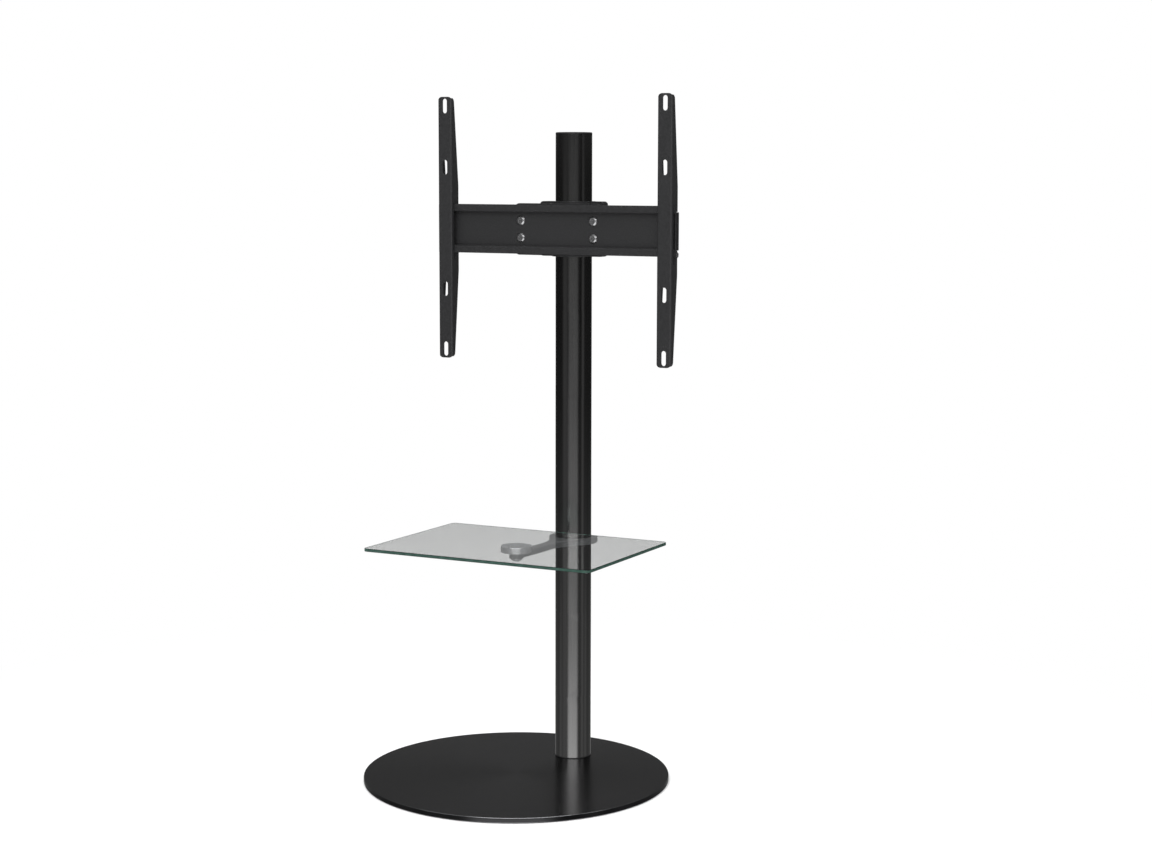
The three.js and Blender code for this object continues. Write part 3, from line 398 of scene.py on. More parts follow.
def revolved(profile, sides=ROUND_SIDES, flats=None, lobes=None):
    """Each profile point (radius, height) carried round Z.

    flats holds, for each point, the distance from the axis to the flats of a hexagon that cuts the circle, or
    infinity. lobes holds the depth of a wave of KNOB_LOBES crests that the circle gets.
    """
    profile = np.asarray(profile, float)
    angle = np.linspace(0, 2 * math.pi, sides, endpoint=False)
    reach = np.repeat(profile[:, :1], sides, 1)
    if flats is not None:
        sixth = math.pi / 3
        hexagon = 1 / np.cos((angle + sixth / 2) % sixth - sixth / 2)
        reach = np.minimum(reach, np.asarray(flats, float)[:, None] * hexagon)
    if lobes is not None:
        reach = reach + np.asarray(lobes, float)[:, None] * (np.cos(KNOB_LOBES * angle) - 1) / 2
    height = np.repeat(profile[:, 1:], sides, 1)
    return grid(np.stack([reach * np.cos(angle), reach * np.sin(angle), height], -1), rows_close=profile[0, 0] > 0)


def profile_of(*stretches):
    """One profile from single points and arrays of points."""
    return np.vstack([np.atleast_2d(np.asarray(s, float)) for s in stretches])


def corner(radius, height, size, start, end, steps=ARC_STEPS):
    """An arc in a revolved profile about (radius, height), between two angles in degrees."""
    return arc((radius, height), size, math.radians(start), math.radians(end), steps)


def cylinder(radius, start, end, sides=SMALL_SIDES):
    return revolved([(0, start), (radius, start), (radius, end), (0, end)], sides)


def rim_of(radius, bottom, top, edge, steps=2):
    """The side of a disc in a revolved profile, with both of its edges rounded."""
    return np.vstack([corner(radius - edge, bottom + edge, edge, -90, 0, steps),
                      corner(radius - edge, top - edge, edge, 0, 90, steps)])


def inset(loop, distance):
    """A loop moved to its left by a distance, with each point along the mean normal of its two sides."""
    total = unit(loop - np.roll(loop, 1, 0)) + unit(np.roll(loop, -1, 0) - loop)
    normal = np.stack([-total[:, 1], total[:, 0]], -1)
    return loop + normal * 2 / (total * total).sum(-1, keepdims=True) * distance


def without_repeats(loop, closest=1e-7):
    """A loop without the points that lie on the one before."""
    loop = np.asarray(loop, float)
    return loop[np.linalg.norm(loop - np.roll(loop, 1, 0), axis=-1) > closest]


def plate(outline, holes, thickness, edge, steps=2):
    """A flat shape with holes, thick along Z from 0, whose edges are quarter rounds.

    On each loop the rows of the grid go up the side: at an angle t of the round the loop is inset by
    edge (1 - sin t) at a height of edge (1 - cos t). The two flat faces fill what the last rows leave.
    """
    t = np.linspace(0, math.pi / 2, steps + 1)
    inward, rise = edge * (1 - np.sin(t)), edge * (1 - np.cos(t))
    insets = np.concatenate([inward, inward[::-1]])
    heights = np.concatenate([rise, thickness - rise[::-1]])
    shell, lower, upper = Shell([]), [], []
    for loop in [without_repeats(outline), *(without_repeats(h)[::-1] for h in holes)]:
        rows = [np.column_stack([inset(loop, d), np.full(len(loop), h)]) for d, h in zip(insets, heights)]
        first = np.arange(len(loop)) + len(shell.points)
        shell = shell + grid(np.array(rows))
        lower.append(first)
        upper.append(first + (len(rows) - 1) * len(loop))
    for rings, flip in ((lower, True), (upper, False)):
        fill = np.concatenate(rings)[np.array(tessellate_polygon([shell.points[r].tolist() for r in rings]))]
        corners = shell.points[fill]
        area = np.cross(corners[:, 1] - corners[:, 0], corners[:, 2] - corners[:, 0])[:, 2]
        wrong = (area > 0) == flip
        fill[wrong] = fill[wrong][:, ::-1]
        shell.triangles = np.vstack([shell.triangles, fill])
    return shell


def prism(outline, start, end):
    """A flat shape made thick along Z, with sharp edges."""
    return plate(outline, (), end - start, 0, 0).moved(z=start)


def block(lower, upper):
    (x0, y0, z0), (x1, y1, z1) = lower, upper
    return prism([(x0, y0), (x1, y0), (x1, y1), (x0, y1)], z0, z1)


def threaded(radius, pitch, bottom, top):
    """A screw thread along Z, closed at both ends.

    The radius at height z and angle a is the outer radius less a tooth depth times a triangle wave of
    z / pitch - a / turn, which fades out at the tip.
    """
    rows = max(2, int(round((top - bottom) / pitch * THREAD_STEPS)))
    z = np.linspace(bottom, top, rows + 1)[:, None]
    angle = np.linspace(0, 2 * math.pi, SMALL_SIDES, endpoint=False)[None, :]
    wave = np.abs(2 * ((z / pitch - angle / (2 * math.pi)) % 1) - 1)
    reach = radius - pitch * THREAD_DEPTH * (1 - (1 - wave) * np.clip((top - z) / pitch, 0, 1))
    side = np.stack([reach * np.cos(angle), reach * np.sin(angle), z + 0 * angle], -1)
    axis = np.zeros((1, SMALL_SIDES, 3))
    return grid(np.concatenate([axis + (0, 0, bottom), side, axis + (0, 0, top)]))


# Meshes


def mesh_of(shell):
    """A mesh with doubles merged, flat poles closed and faces that point outwards."""
    mesh = bpy.data.meshes.new("solid")
    mesh.from_pydata(shell.points.tolist(), [], shell.quads.tolist() + shell.triangles.tolist())
    working = bmesh.new()
    working.from_mesh(mesh)
    bmesh.ops.remove_doubles(working, verts=working.verts, dist=1e-6)
    bmesh.ops.dissolve_degenerate(working, edges=working.edges, dist=1e-7)
    bmesh.ops.recalc_face_normals(working, faces=working.faces)
    working.to_mesh(mesh)
    working.free()
    return mesh


def shell_from(mesh):
    """A mesh's points and its faces, as triangles. The mesh is removed."""
    working = bmesh.new()
    working.from_mesh(mesh)
    bmesh.ops.triangulate(working, faces=working.faces)
    shell = Shell([v.co for v in working.verts], (), [[v.index for v in f.verts] for f in working.faces])
    working.free()
    bpy.data.meshes.remove(mesh)
    return shell


def linked(name, data):
    """A new object in the scene."""
    made = bpy.data.objects.new(name, data)
    bpy.context.scene.collection.objects.link(made)
    return made


def boolean(kind, first, *others):
    """Solids joined, cut or crossed with each other, as one closed mesh."""
    meshes = [s if isinstance(s, bpy.types.Mesh) else mesh_of(s) for s in (first, *others)]
    objects = [linked("work", mesh) for mesh in meshes]
    for tool in objects[1:]:
        step = objects[0].modifiers.new("step", "BOOLEAN")
        step.operation, step.solver, step.object = kind, "MANIFOLD", tool
    bpy.context.view_layer.update()
    made = bpy.data.meshes.new_from_object(objects[0].evaluated_get(bpy.context.evaluated_depsgraph_get()))
    for item, mesh in zip(objects, meshes):
        bpy.data.objects.remove(item)
        bpy.data.meshes.remove(mesh)
    return made


join, cut, common = (partial(boolean, kind) for kind in ("UNION", "DIFFERENCE", "INTERSECT"))


def finished(node, ending, solid, body, slot, place, crease=35.0, replaces=True):
    """A finished piece: smooth but for its creases, on its body and, unless it is an addition, in place of its node."""
    name = f"{node}_{ending}"
    mesh = solid if isinstance(solid, bpy.types.Mesh) else mesh_of(solid)
    mesh.name = name
    points = np.zeros(len(mesh.vertices) * 3, np.float32)
    mesh.vertices.foreach_get("co", points)
    points = (points.reshape(-1, 3) + np.asarray(place, np.float32)).astype(np.float32)
    mesh.vertices.foreach_set("co", points.ravel())
    mesh.polygons.foreach_set("use_smooth", np.ones(len(mesh.polygons), bool))
    mesh.set_sharp_from_angle(angle=math.radians(crease))
    mesh.materials.clear()
    mesh.materials.append(material(slot))
    mesh.update()
    piece = linked(name, mesh)
    piece.modifiers.new("Even Shading", "WEIGHTED_NORMAL").keep_sharp = True
    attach(piece, body)
    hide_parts(*([node] if replaces else []))
    return piece


# Nodes: the shared groups give masks and values, and the shaders stay in the materials


class Graph:
    """A node tree, with short ways to add the nodes that the finishes and the studio are made of."""

    def __init__(self, tree):
        self.tree = tree

    def feed(self, node, inputs):
        """Each input is a value or another node's output."""
        for key, value in inputs.items():
            if isinstance(value, bpy.types.NodeSocket):
                self.tree.links.new(value, node.inputs[key])
            else:
                node.inputs[key].default_value = value

    def put(self, kind, inputs=None, **settings):
        made = self.tree.nodes.new("ShaderNode" + kind)
        for key, value in settings.items():
            setattr(made, key, value)
        self.feed(made, inputs or {})
        return made

    def of_type(self, kind):
        return next(node for node in self.tree.nodes if node.type == kind)

    def group(self, shared_group, **inputs):
        return self.put("Group", inputs, node_tree=shared_group()).outputs

    def math(self, operation, *values, clamp=False):
        """One Math node, or a chain of them for a sum or a product of many values."""
        total = values[0]
        for value in values[1:] or (0.0,):
            total = self.put("Math", {0: total, 1: value}, operation=operation, use_clamp=clamp).outputs[0]
        return total

    def times(self, *values):
        return self.math("MULTIPLY", *values)

    def plus(self, *values):
        return self.math("ADD", *values)

    def rest(self, value, whole=1.0):
        """What a value leaves of a whole, at least 0 and at most 1."""
        return self.math("SUBTRACT", whole, value, clamp=True)

    def either(self, first, second):
        return self.math("ADD", first, second, clamp=True)

    def vector(self, operation, *inputs):
        """One Vector Math node. The second input of a SCALE is its factor."""
        keys = (0, "Scale") if operation == "SCALE" else (0, 1)
        made = self.put("VectorMath", dict(zip(keys, inputs)), operation=operation)
        return made.outputs["Value" if operation in ("LENGTH", "DOT_PRODUCT") else "Vector"]

    def split(self, place):
        return self.put("SeparateXYZ", {0: place}).outputs

    def flat(self, place):
        return self.vector("MULTIPLY", place, (1.0, 1.0, 0.0))

    def noise(self, place, scale, detail=2.0, roughness=0.5):
        return self.put("TexNoise", {
            "Vector": place, "Scale": scale, "Detail": detail, "Roughness": roughness}).outputs["Fac"]

    def ranged(self, amount, start=0.0, end=1.0, first=0.0, last=1.0, kind="LINEAR"):
        """A number that goes from start to end as an amount goes from first to last."""
        return self.put("MapRange", {
            "Value": amount, "From Min": first, "From Max": last, "To Min": start, "To Max": end,
        }, interpolation_type=kind).outputs[0]

    def ramp(self, value, start, end, before=0.0, after=1.0):
        """The number before up to start, the number after past end, and smooth between them."""
        if start > end:
            start, end, before, after = end, start, after, before
        return self.ranged(value, before, after, start, end, "SMOOTHSTEP")

    def band(self, angle, centre, half, soft):
        """1 where an angle in degrees is within half of centre, and 0 beyond half + soft."""
        return self.ramp(self.math("ABSOLUTE", self.math("SUBTRACT", angle, centre)), half + soft, half)

    def mix_shaders(self, share, first, second):
        return self.put("MixShader", {0: share, 1: first.outputs[0], 2: second.outputs[0]})


def shared(name, outputs, inputs):
    """Makes the function below it one that returns a shared group of nodes, built once.

    An input is a place where its default is None, and else a number. Outputs are numbers.
    """

    def made(fill):
        def find():
            tree = bpy.data.node_groups.get(name)
            if tree:
                return tree
            tree = bpy.data.node_groups.new(name, "ShaderNodeTree")
            for key, default in inputs.items():
                kind = "NodeSocketVector" if default is None else "NodeSocketFloat"
                socket = tree.interface.new_socket(key, in_out="INPUT", socket_type=kind)
                if default is not None:
                    socket.default_value = default
            for key in outputs:
                tree.interface.new_socket(key, in_out="OUTPUT", socket_type="NodeSocketFloat")
            start, end = (tree.nodes.new(kind) for kind in ("NodeGroupInput", "NodeGroupOutput"))
            for key, value in zip(outputs, fill(Graph(tree), *(start.outputs[k] for k in inputs))):
                tree.links.new(value, end.inputs[key])
            return tree

        return find

    return made


@shared("Brushed Lines", ("Height", "Shade"), {"Vector": None})
def brushed_lines(g, place):
    """Fine brushed lines: a noise squeezed across the lines and drawn out along them, and a coarser one over it."""
    fine = g.ranged(g.noise(place, 1.0, roughness=0.6), first=0.3, last=0.7)
    drift = g.ranged(g.noise(g.vector("MULTIPLY", place, (0.13, 0.13, 0.35)), 1.0), first=0.3, last=0.7)
    return fine, g.plus(g.times(fine, 0.55), g.times(drift, 0.45))


@shared("Coat Grain", ("Height", "Mottle"), {"Vector": None, "Scale": 1000.0})
def grain_cells(g, place, scale):
    """Grain of a coat or a casting: rounded cells from a smooth Voronoi over a soft noise."""
    cells = g.put("TexVoronoi", {"Vector": place, "Scale": scale, "Smoothness": 0.8}, feature="SMOOTH_F1")
    noise = g.noise(place, g.times(scale, 0.35), 3.0)
    height = g.plus(g.times(cells.outputs["Distance"], 0.6), g.times(noise, 0.4))
    return height, g.ranged(noise, first=0.35, last=0.65)


@shared("Handling Marks", ("Mask",), {"Vector": None})
def handling_marks(g, place):
    """Soft marks of handling and dust: large clouds, broken up by a finer noise."""
    clouds = g.ranged(g.noise(place, 7.0, 4.0, 0.55), first=0.42, last=0.70)
    specks = g.ranged(g.noise(place, 130.0), start=0.6, first=0.35, last=0.65)
    return (g.math("MULTIPLY", clouds, specks, clamp=True),)


# Finishes

# Grained finishes: colour or its property, grain in metres or its property, shades and roughness over the mottle,
# depth of the grain as a share of its size, metallic share, and the roughness that marks of handling add
GRAINED = {
    "cast_metal": ("cast_paint", "cast_grain", (0.90, 1.08), (0.34, 0.44), 0.03, 0.25, 0.06),
    "mount_paint": ("powder_coat", "coat_grain", (0.85, 1.20), (0.42, 0.52), 0.06, 0.0, 0.08),
    "glass_edge": ("glass_side", 1 / 260, (0.82, 1.20), (0.16, 0.26), 0.0, 0.0, 0.0),
    "zinc_plate": ((0.50, 0.50, 0.51), 1 / 1400, (0.86, 1.10), (0.24, 0.38), 0.0168, 1.0, 0.0),
    "machined_steel": ((0.36, 0.36, 0.37), 1 / 1400, (0.86, 1.10), (0.22, 0.32), 0.0168, 1.0, 0.0),
    "black_plastic": ((0.013, 0.013, 0.0135), 0.0005, (0.88, 1.14), (0.36, 0.48), 0.06, 0.0, 0.06),
    "black_rubber": ((0.010, 0.010, 0.010), 0.0006, (0.88, 1.14), (0.62, 0.78), 0.0833, 0.0, 0.06),
    "nylon": ((0.62, 0.60, 0.53), 0.0008, (0.88, 1.14), (0.45, 0.55), 0.0375, 0.0, 0.06),
}
POLISHED = (0.93, 0.94, 0.96)
GLASS_IOR = 1.48
GLASS_DENSITY = 3.0
GLASS_SMEAR = 0.012  # the roughness where the glass was touched
BRUSHED_SMEAR = 0.015
SHADOWED_SLOPE = (0.08, 0.16)  # the share of the normal along Z over which the disc's side turns into its edge, below which the side gets painted shade
HIGHLIGHT_SLOPE = (0.16, 0.24)  # and over which a painted highlight brightens the edge, up to where the top starts
TOP_SLOPE = (0.5, 0.8)
# how many times a painted highlight brightens the colour at the rim's edge
EDGE_HIGHLIGHT = 4.8
STREAKS = {"disc": 1.6, "column": 9.0, "pad": 0.4}  # how fast the brushing changes along its own lines


def sizes():
    return bpy.context.scene.stand_sizes


def colours():
    return bpy.context.scene.stand_colours


def stage():
    return bpy.context.scene.stand_stage


def dulled(g, place, roughness, smear):
    """A roughness with what marks of handling add to it."""
    return g.plus(roughness, g.times(g.group(handling_marks, Vector=place)["Mask"], smear)) if smear else roughness


def grained(g, shader, place, tint, grain, shades, roughness, depth, metallic, smear):
    """A fine grain moves the colour, the roughness and the height, and marks of handling dull it."""
    tint = tuple(getattr(colours(), tint)) if isinstance(tint, str) else tint
    grain = getattr(sizes(), grain) if isinstance(grain, str) else grain
    cells = g.group(grain_cells, Vector=place, Scale=1 / grain)
    g.feed(shader, {
        "Base Color": g.vector("SCALE", tint, g.ranged(cells["Mottle"], *shades)),
        "Roughness": dulled(g, place, g.ranged(cells["Mottle"], *roughness), smear),
        "Metallic": metallic,
    })
    if depth:
        bumped(g, shader, cells["Height"], grain * depth)


def bumped(g, shader, height, distance):
    g.feed(shader, {"Normal": g.put("Bump", {"Height": height, "Distance": distance, "Strength": 1.0}).outputs[0]})


def brushed(g, shader, place, spread, tint, shades, roughness, depth, metallic=1.0, painted_light=1.0, smear=BRUSHED_SMEAR):
    """Fine lines over a stretched place (x, y, z) move the colour, the roughness and the height.

    The depth of the lines is a share of their spacing, and painted_light scales the colour where a finish paints
    highlight or shade into it.
    """
    lines = g.group(brushed_lines, Vector=g.put("CombineXYZ", dict(enumerate(spread))).outputs[0])
    g.feed(shader, {
        # painted_light scales the colour: painted highlight and painted shade where a finish gives them
        "Base Color": g.vector("SCALE", tuple(tint), g.times(g.ranged(lines["Shade"], *shades), painted_light)),
        "Roughness": dulled(g, place, g.ranged(lines["Height"], *roughness), smear),
        "Metallic": metallic,
    })
    bumped(g, shader, lines["Height"], sizes().brushing_spacing * depth)


def base_steel(g, shader, place):
    """Dark steel brushed in circles about the disc's centre.

    By the share of the normal along Z, its colour carries a painted highlight on the rim's upper edge and painted shade
    on its side.
    """
    centred = g.vector("SUBTRACT", place, (*DISC_CENTRE, 0.0))
    outward = g.vector("NORMALIZE", g.flat(centred))
    slow = g.split(g.vector("SCALE", outward, STREAKS["disc"]))
    across = g.math("DIVIDE", g.vector("LENGTH", g.flat(centred)), sizes().brushing_spacing)
    slope = g.math("ABSOLUTE", g.split(g.put("NewGeometry").outputs["Normal"])["Z"])
    # painted highlight: the colour brightens along the rim's upper edge and fades out where the top starts
    painted_light = g.times(g.ranged(slope, 0.0, EDGE_HIGHLIGHT, *HIGHLIGHT_SLOPE), g.ranged(slope, 1.0, 0.0, *TOP_SLOPE))
    # painted shade: the colour halves on the rim's side, and the painted highlight is added to it
    brushed(g, shader, place, (slow["X"], slow["Y"], across), colours().base_steel, shades=(0.88, 1.12),
            roughness=(0.18, 0.25), depth=0.003, painted_light=g.plus(g.ranged(slope, 0.5, 1.0, *SHADOWED_SLOPE), painted_light))
    g.feed(shader, {"Anisotropic": 0.55, "Tangent": outward})


def column_steel(g, shader, place):
    """Dark steel brushed along the tube, with the slow streaks of a drawn tube."""
    centred = g.split(g.vector("SUBTRACT", place, (*AXIS, 0.0)))
    across = [g.math("DIVIDE", centred[key], sizes().brushing_spacing) for key in "XY"]
    brushed(g, shader, place, (*across, g.times(centred["Z"], STREAKS["column"])), colours().column_steel,
            shades=(0.92, 1.08), roughness=(0.13, 0.19), depth=0.002)


def polished_steel(g, shader, place):
    """Bright steel, polished, with faint turned lines round its side."""
    centred = g.vector("SUBTRACT", place, (*PAD_AXIS, 0.0))
    parts = g.split(centred)
    angle = g.math("ARCTAN2", parts["Y"], parts["X"])
    across = [g.math("DIVIDE", value, sizes().brushing_spacing)
              for value in (g.vector("LENGTH", g.flat(centred)), parts["Z"])]
    brushed(g, shader, place, (g.times(angle, STREAKS["pad"]), *across), POLISHED, shades=(0.96, 1.03),
            roughness=(0.19, 0.24), depth=0.002, metallic=0.90, smear=0.0)


def clear_glass(g, shader, place):
    """Clear float glass, which turns green over a long way."""
    marks = g.group(handling_marks, Vector=place)["Mask"]
    g.feed(shader, {
        "Base Color": (1.0, 1.0, 1.0, 1.0), "Roughness": g.ranged(marks, 0.0, GLASS_SMEAR),
        "Transmission Weight": 1.0, "IOR": GLASS_IOR,
    })
    depth = g.put("VolumeAbsorption", {"Color": (*colours().glass_tint, 1.0), "Density": GLASS_DENSITY})
    g.feed(g.of_type("OUTPUT_MATERIAL"), {"Volume": depth.outputs[0]})


def unmirrored(g, shader):
    """Let a ray that another piece reflects pass through, so that no dark image of the shelf lies on the column.

    A ray that has been reflected inside the glass has a Transmission Depth, and it meets the glass as usual.
    """
    path = g.put("LightPath").outputs
    share = g.times(path["Is Glossy Ray"], g.rest(path["Transmission Depth"]))
    mixed = g.mix_shaders(share, shader, g.put("BsdfTransparent"))
    g.feed(g.of_type("OUTPUT_MATERIAL"), {"Surface": mixed.outputs[0]})


FINISHES = {build.__name__: build for build in (base_steel, column_steel, polished_steel, clear_glass)}
UNMIRRORED = ("clear_glass", "glass_edge")


def material(slot):
    """A slot's material, built once, over Object coordinates."""
    name = slot.replace("_", " ").title()
    made = bpy.data.materials.get(name)
    if made:
        return made
    made = bpy.data.materials.new(name)
    made.use_nodes = True
    g = Graph(made.node_tree)
    shader = g.of_type("BSDF_PRINCIPLED")
    place = g.put("TexCoord").outputs["Object"]
    if slot in GRAINED:
        grained(g, shader, place, *GRAINED[slot])
    else:
        FINISHES[slot](g, shader, place)
    if slot in UNMIRRORED:
        unmirrored(g, shader)
    return made


# Base


def base_disc():
    """The disc's top and rim as one revolved surface, and its underside with pockets for pads and screws.

    The rim's upper edge is a quarter of an ellipse that is DISC_EASE across and down.
    """
    radius = extent("base_disc")[0] / 2
    bottom, top = ends("base_disc", 2)
    across, down = DISC_EASE
    turn = np.linspace(0, math.pi / 2, 2 * ARC_STEPS + 1)
    shell = revolved(profile_of(
        corner(radius - across, bottom + across, across, -90, 0),
        np.column_stack([radius - across * (1 - np.cos(turn)), top - down * (1 - np.sin(turn))]),
        (radius / 2, top), (0, top),
    ), DISC_SIDES)
    shell.quads = shell.quads[:-DISC_SIDES]
    pockets = [(node, extent(FOOT_PADS[0])[0] / 2 + RUN_GAP, PAD_RECESS) for node in FOOT_PADS]
    pockets += [(node, FOOT_SCREW_HEAD + RUN_GAP, FOOT_SCREW_HEAD / 2) for node in FOOT_SCREWS]
    loops = [np.column_stack([shell.points[:DISC_SIDES, :2], np.full(DISC_SIDES, bottom)])]
    for node, reach, depth in pockets:
        place = middle(node)[:2] - DISC_CENTRE
        loops.append(np.column_stack([ring(reach, centre=place), np.full(SMALL_SIDES, bottom)]))
        wall = revolved([(reach, bottom), (reach, bottom + depth), (0, bottom + depth)], SMALL_SIDES)
        wall.quads = wall.quads[: 2 * SMALL_SIDES]
        shell = shell + wall.moved(*place)
    return shell + Shell(np.vstack(loops), (), tessellate_polygon([loop.tolist() for loop in loops]))


def foot_pad():
    """A rubber disc with a shallow ring in its face."""
    size = extent(FOOT_PADS[0])
    radius, top = size[0] / 2, size[2]
    edge = radius / 24
    return revolved(profile_of(
        (0, edge / 2), (radius * 0.45, edge / 2), (radius * 0.50, 0),
        corner(radius - edge, edge, edge, -90, 0), (radius, top), (0, top),
    ), SMALL_SIDES)


def foot_screw():
    """A countersunk screw that points up, with a hexagon socket."""
    bottom, top = ends(FOOT_SCREWS[0], 2)
    cone = FOOT_SCREW_HEAD - FOOT_SCREW_SHANK
    socket = FOOT_SCREW_HEAD * SOCKET
    deep = bottom + cone * FOOT_SCREW_SOCKET
    return revolved([
        (0, deep), (socket * 2, deep), (socket * 2, bottom),
        (FOOT_SCREW_HEAD - FINE_EDGE, bottom), (FOOT_SCREW_HEAD, bottom + FINE_EDGE),
        (FOOT_SCREW_SHANK, bottom + cone), (FOOT_SCREW_SHANK, top), (0, top),
    ], SMALL_SIDES, [socket] * 3 + [math.inf] * 5)


def thrust_washer():
    outer = extent("thrust_washer")[0] / 2
    bottom, top = ends("thrust_washer", 2)
    edge = (top - bottom) / 4
    inner = outer * WASHER_BORE
    return revolved(profile_of((inner, bottom), rim_of(outer, bottom, top, edge), (inner, top)))


# Column


def wrapped(flat, radius):
    """Points (along, height) laid round a cylinder whose back is +Y: the angle is along / radius."""
    angle = flat[..., 0] / radius
    return np.stack([radius * np.sin(angle), radius * np.cos(angle), flat[..., 1]], -1)


def pierced_stretch(radius, low_z, high_z, hole, steps=24):
    """A stretch of the tube's skin round a hole, as a grid between the hole's loop and the stretch's border.

    The border is the rectangle of the unrolled stretch. Its points and the hole's are matched by number, and a
    row at a share s lies at s squared of the way, so that rows crowd at the hole.
    """
    half = math.pi * radius
    around = np.linspace(-half, half, ROUND_SIDES + 1)
    up = np.linspace(low_z, high_z, steps + 1)
    border = np.vstack([np.column_stack(side)[:-1] for side in (
        (around, np.full(len(around), low_z)), (np.full(len(up), half), up),
        (around[::-1], np.full(len(around), high_z)), (np.full(len(up), -half), up[::-1]),
    )])
    centre = hole.mean(0)
    closed = np.vstack([hole, hole[:1]])
    run = np.concatenate([[0], np.cumsum(np.linalg.norm(np.diff(closed, axis=0), axis=-1))])
    direction = np.arctan2(*(border - centre).T[::-1])
    hole_direction = np.unwrap(np.arctan2(*(closed - centre).T[::-1]))
    wanted = (direction - hole_direction[0]) % (2 * math.pi) + hole_direction[0]
    place = np.interp(wanted, hole_direction, run)
    inner = np.stack([np.interp(place, run, closed[:, k]) for k in (0, 1)], -1)
    share = np.linspace(0, 1, steps + 1)[:, None, None] ** 2
    return grid(wrapped(inner * (1 - share) + border * share, radius)), inner


def column_tube():
    """The tube as plain stretches and, at each cable hole, a pierced one, outside and inside.

    Rings between the two skins close the tube's ends and the holes' walls.
    """
    bottom, top = ends("column_tube", 2)
    centres = [middle(node)[2] for node in GROMMETS]
    margin = CABLE_HOLE[1] * PIERCED_MARGIN
    breaks = [bottom, *(c + s * margin for c in centres for s in (-1, 1)), top]
    shell, rims = Shell([]), {z: [] for z in (bottom, top, *centres)}
    for radius in (COLUMN_RADIUS, COLUMN_RADIUS - TUBE_WALL):
        around = np.linspace(-math.pi * radius, math.pi * radius, ROUND_SIDES + 1)[:-1]
        for start, end in zip(breaks[::2], breaks[1::2]):
            flat = np.stack(np.meshgrid(np.linspace(start, end, 9), around, indexing="ij")[::-1], -1)
            shell = shell + grid(wrapped(flat, radius))
        for centre in centres:
            pierced, rim = pierced_stretch(radius, centre - margin, centre + margin,
                                           obround(*CABLE_HOLE, (0, centre)))
            shell = shell + pierced
            rims[centre].append(wrapped(rim, radius))
        for z in (bottom, top):
            rims[z].append(wrapped(np.column_stack([around, np.full(ROUND_SIDES, z)]), radius))
    for loops in rims.values():
        shell = shell + grid(np.array(loops))
    return shell


def column_cap():
    """A shallow moulded cap with a rounded edge, and its skirt inside the tube."""
    bottom, top = ends("column_cap", 2)
    radius = extent("column_cap")[0] / 2
    seat = high("column_tube")[2] + SEAT_GAP
    skirt = radius - TUBE_WALL - RUN_GAP
    edge = (top - seat) / 2
    return revolved(profile_of(
        (0, seat), (skirt - TUBE_WALL, seat), (skirt - TUBE_WALL, bottom), (skirt, bottom), (skirt, seat),
        corner(radius - FINE_EDGE, seat + FINE_EDGE, FINE_EDGE, -90, 0, 2),
        corner(radius - edge, top - edge, edge, 0, 90, 6),
        (radius * 0.6, top), (0, top),
    ))


def grommet(node):
    """A rubber edging: its section is carried round the hole's loop, on the unrolled tube, and wrapped onto it."""
    width, height = CABLE_HOLE
    loop = without_repeats(obround(width - 2 * RUN_GAP, height - 2 * RUN_GAP, (0, middle(node)[2])))
    outside = COLUMN_RADIUS + RUN_GAP
    skin = outside + GROMMET_SKIN
    inside = COLUMN_RADIUS - TUBE_WALL - GROMMET_SKIN
    lip = GROMMET_LIP + RUN_GAP
    edge = GROMMET_SKIN * 0.45
    section = rounded(
        [(0, outside), (-lip, outside), (-lip, skin), (GROMMET_WALL, skin), (GROMMET_WALL, inside), (0, inside)],
        [0, edge / 3, edge, edge, edge, edge / 2],
    )
    rows = []
    for offset, radius in section:
        along, up = inset(loop, offset).T
        rows.append(wrapped(np.column_stack([along * radius / COLUMN_RADIUS, up]), radius))
    return grid(np.array(rows), rows_close=True)


def shank(radius, length, head):
    """A screw's profile along Z, from its tip to the edge of its head at 0."""
    return [(0, -length), (radius - FINE_EDGE, -length), (radius, -length + FINE_EDGE), (radius, 0),
            (head - FINE_EDGE, 0)]


def socketed(profile, socket, top, floor, *wider):
    """A revolved profile, closed by a hexagon socket from top to floor. wider holds the flats of the points before."""
    beyond = socket * SOCKET_CORNER
    profile = profile_of(profile, (beyond, top), (beyond, floor), (0, floor - FINE_EDGE))
    flats = [*wider, socket, socket, socket]
    return revolved(profile, SMALL_SIDES, [math.inf] * (len(profile) - len(flats)) + flats)


def button_screw(radius, length, head_radius, head_height, socket_share=SOCKET):
    """A domed screw along Z: seat at 0, shank below, and a hexagon socket in the dome."""
    squares = head_radius ** 2, head_height ** 2
    dome = arc((0, (squares[1] - squares[0]) / (2 * head_height)), sum(squares) / (2 * head_height),
               0, math.pi / 2, 40)
    socket = head_radius * socket_share
    face, lip, flats = SOCKET_RIM
    dome = dome[(dome[:, 1] > FINE_EDGE) & (dome[:, 0] > socket * face)]
    rim, floor = dome[-1, 1], head_height * (1 - SOCKET_DEPTH)
    profile = profile_of(shank(radius, length, head_radius), dome, (socket * lip, rim))
    return socketed(profile, socket, rim - FINE_EDGE / 2, floor, socket * flats)


def cap_screw(radius, length, head_radius, head_height):
    """A cylinder-head screw along Z: seat at 0, shank below, and a chamfered head with a hexagon socket."""
    socket = head_radius * SOCKET
    edge = head_height / 12
    profile = profile_of(
        shank(radius, length, head_radius), (head_radius, FINE_EDGE),
        corner(head_radius - edge, head_height - edge, edge, 0, 90, 3), (socket * SOCKET_RIM[0], head_height))
    return socketed(profile, socket, head_height - FINE_EDGE, head_height * (1 - SOCKET_DEPTH))


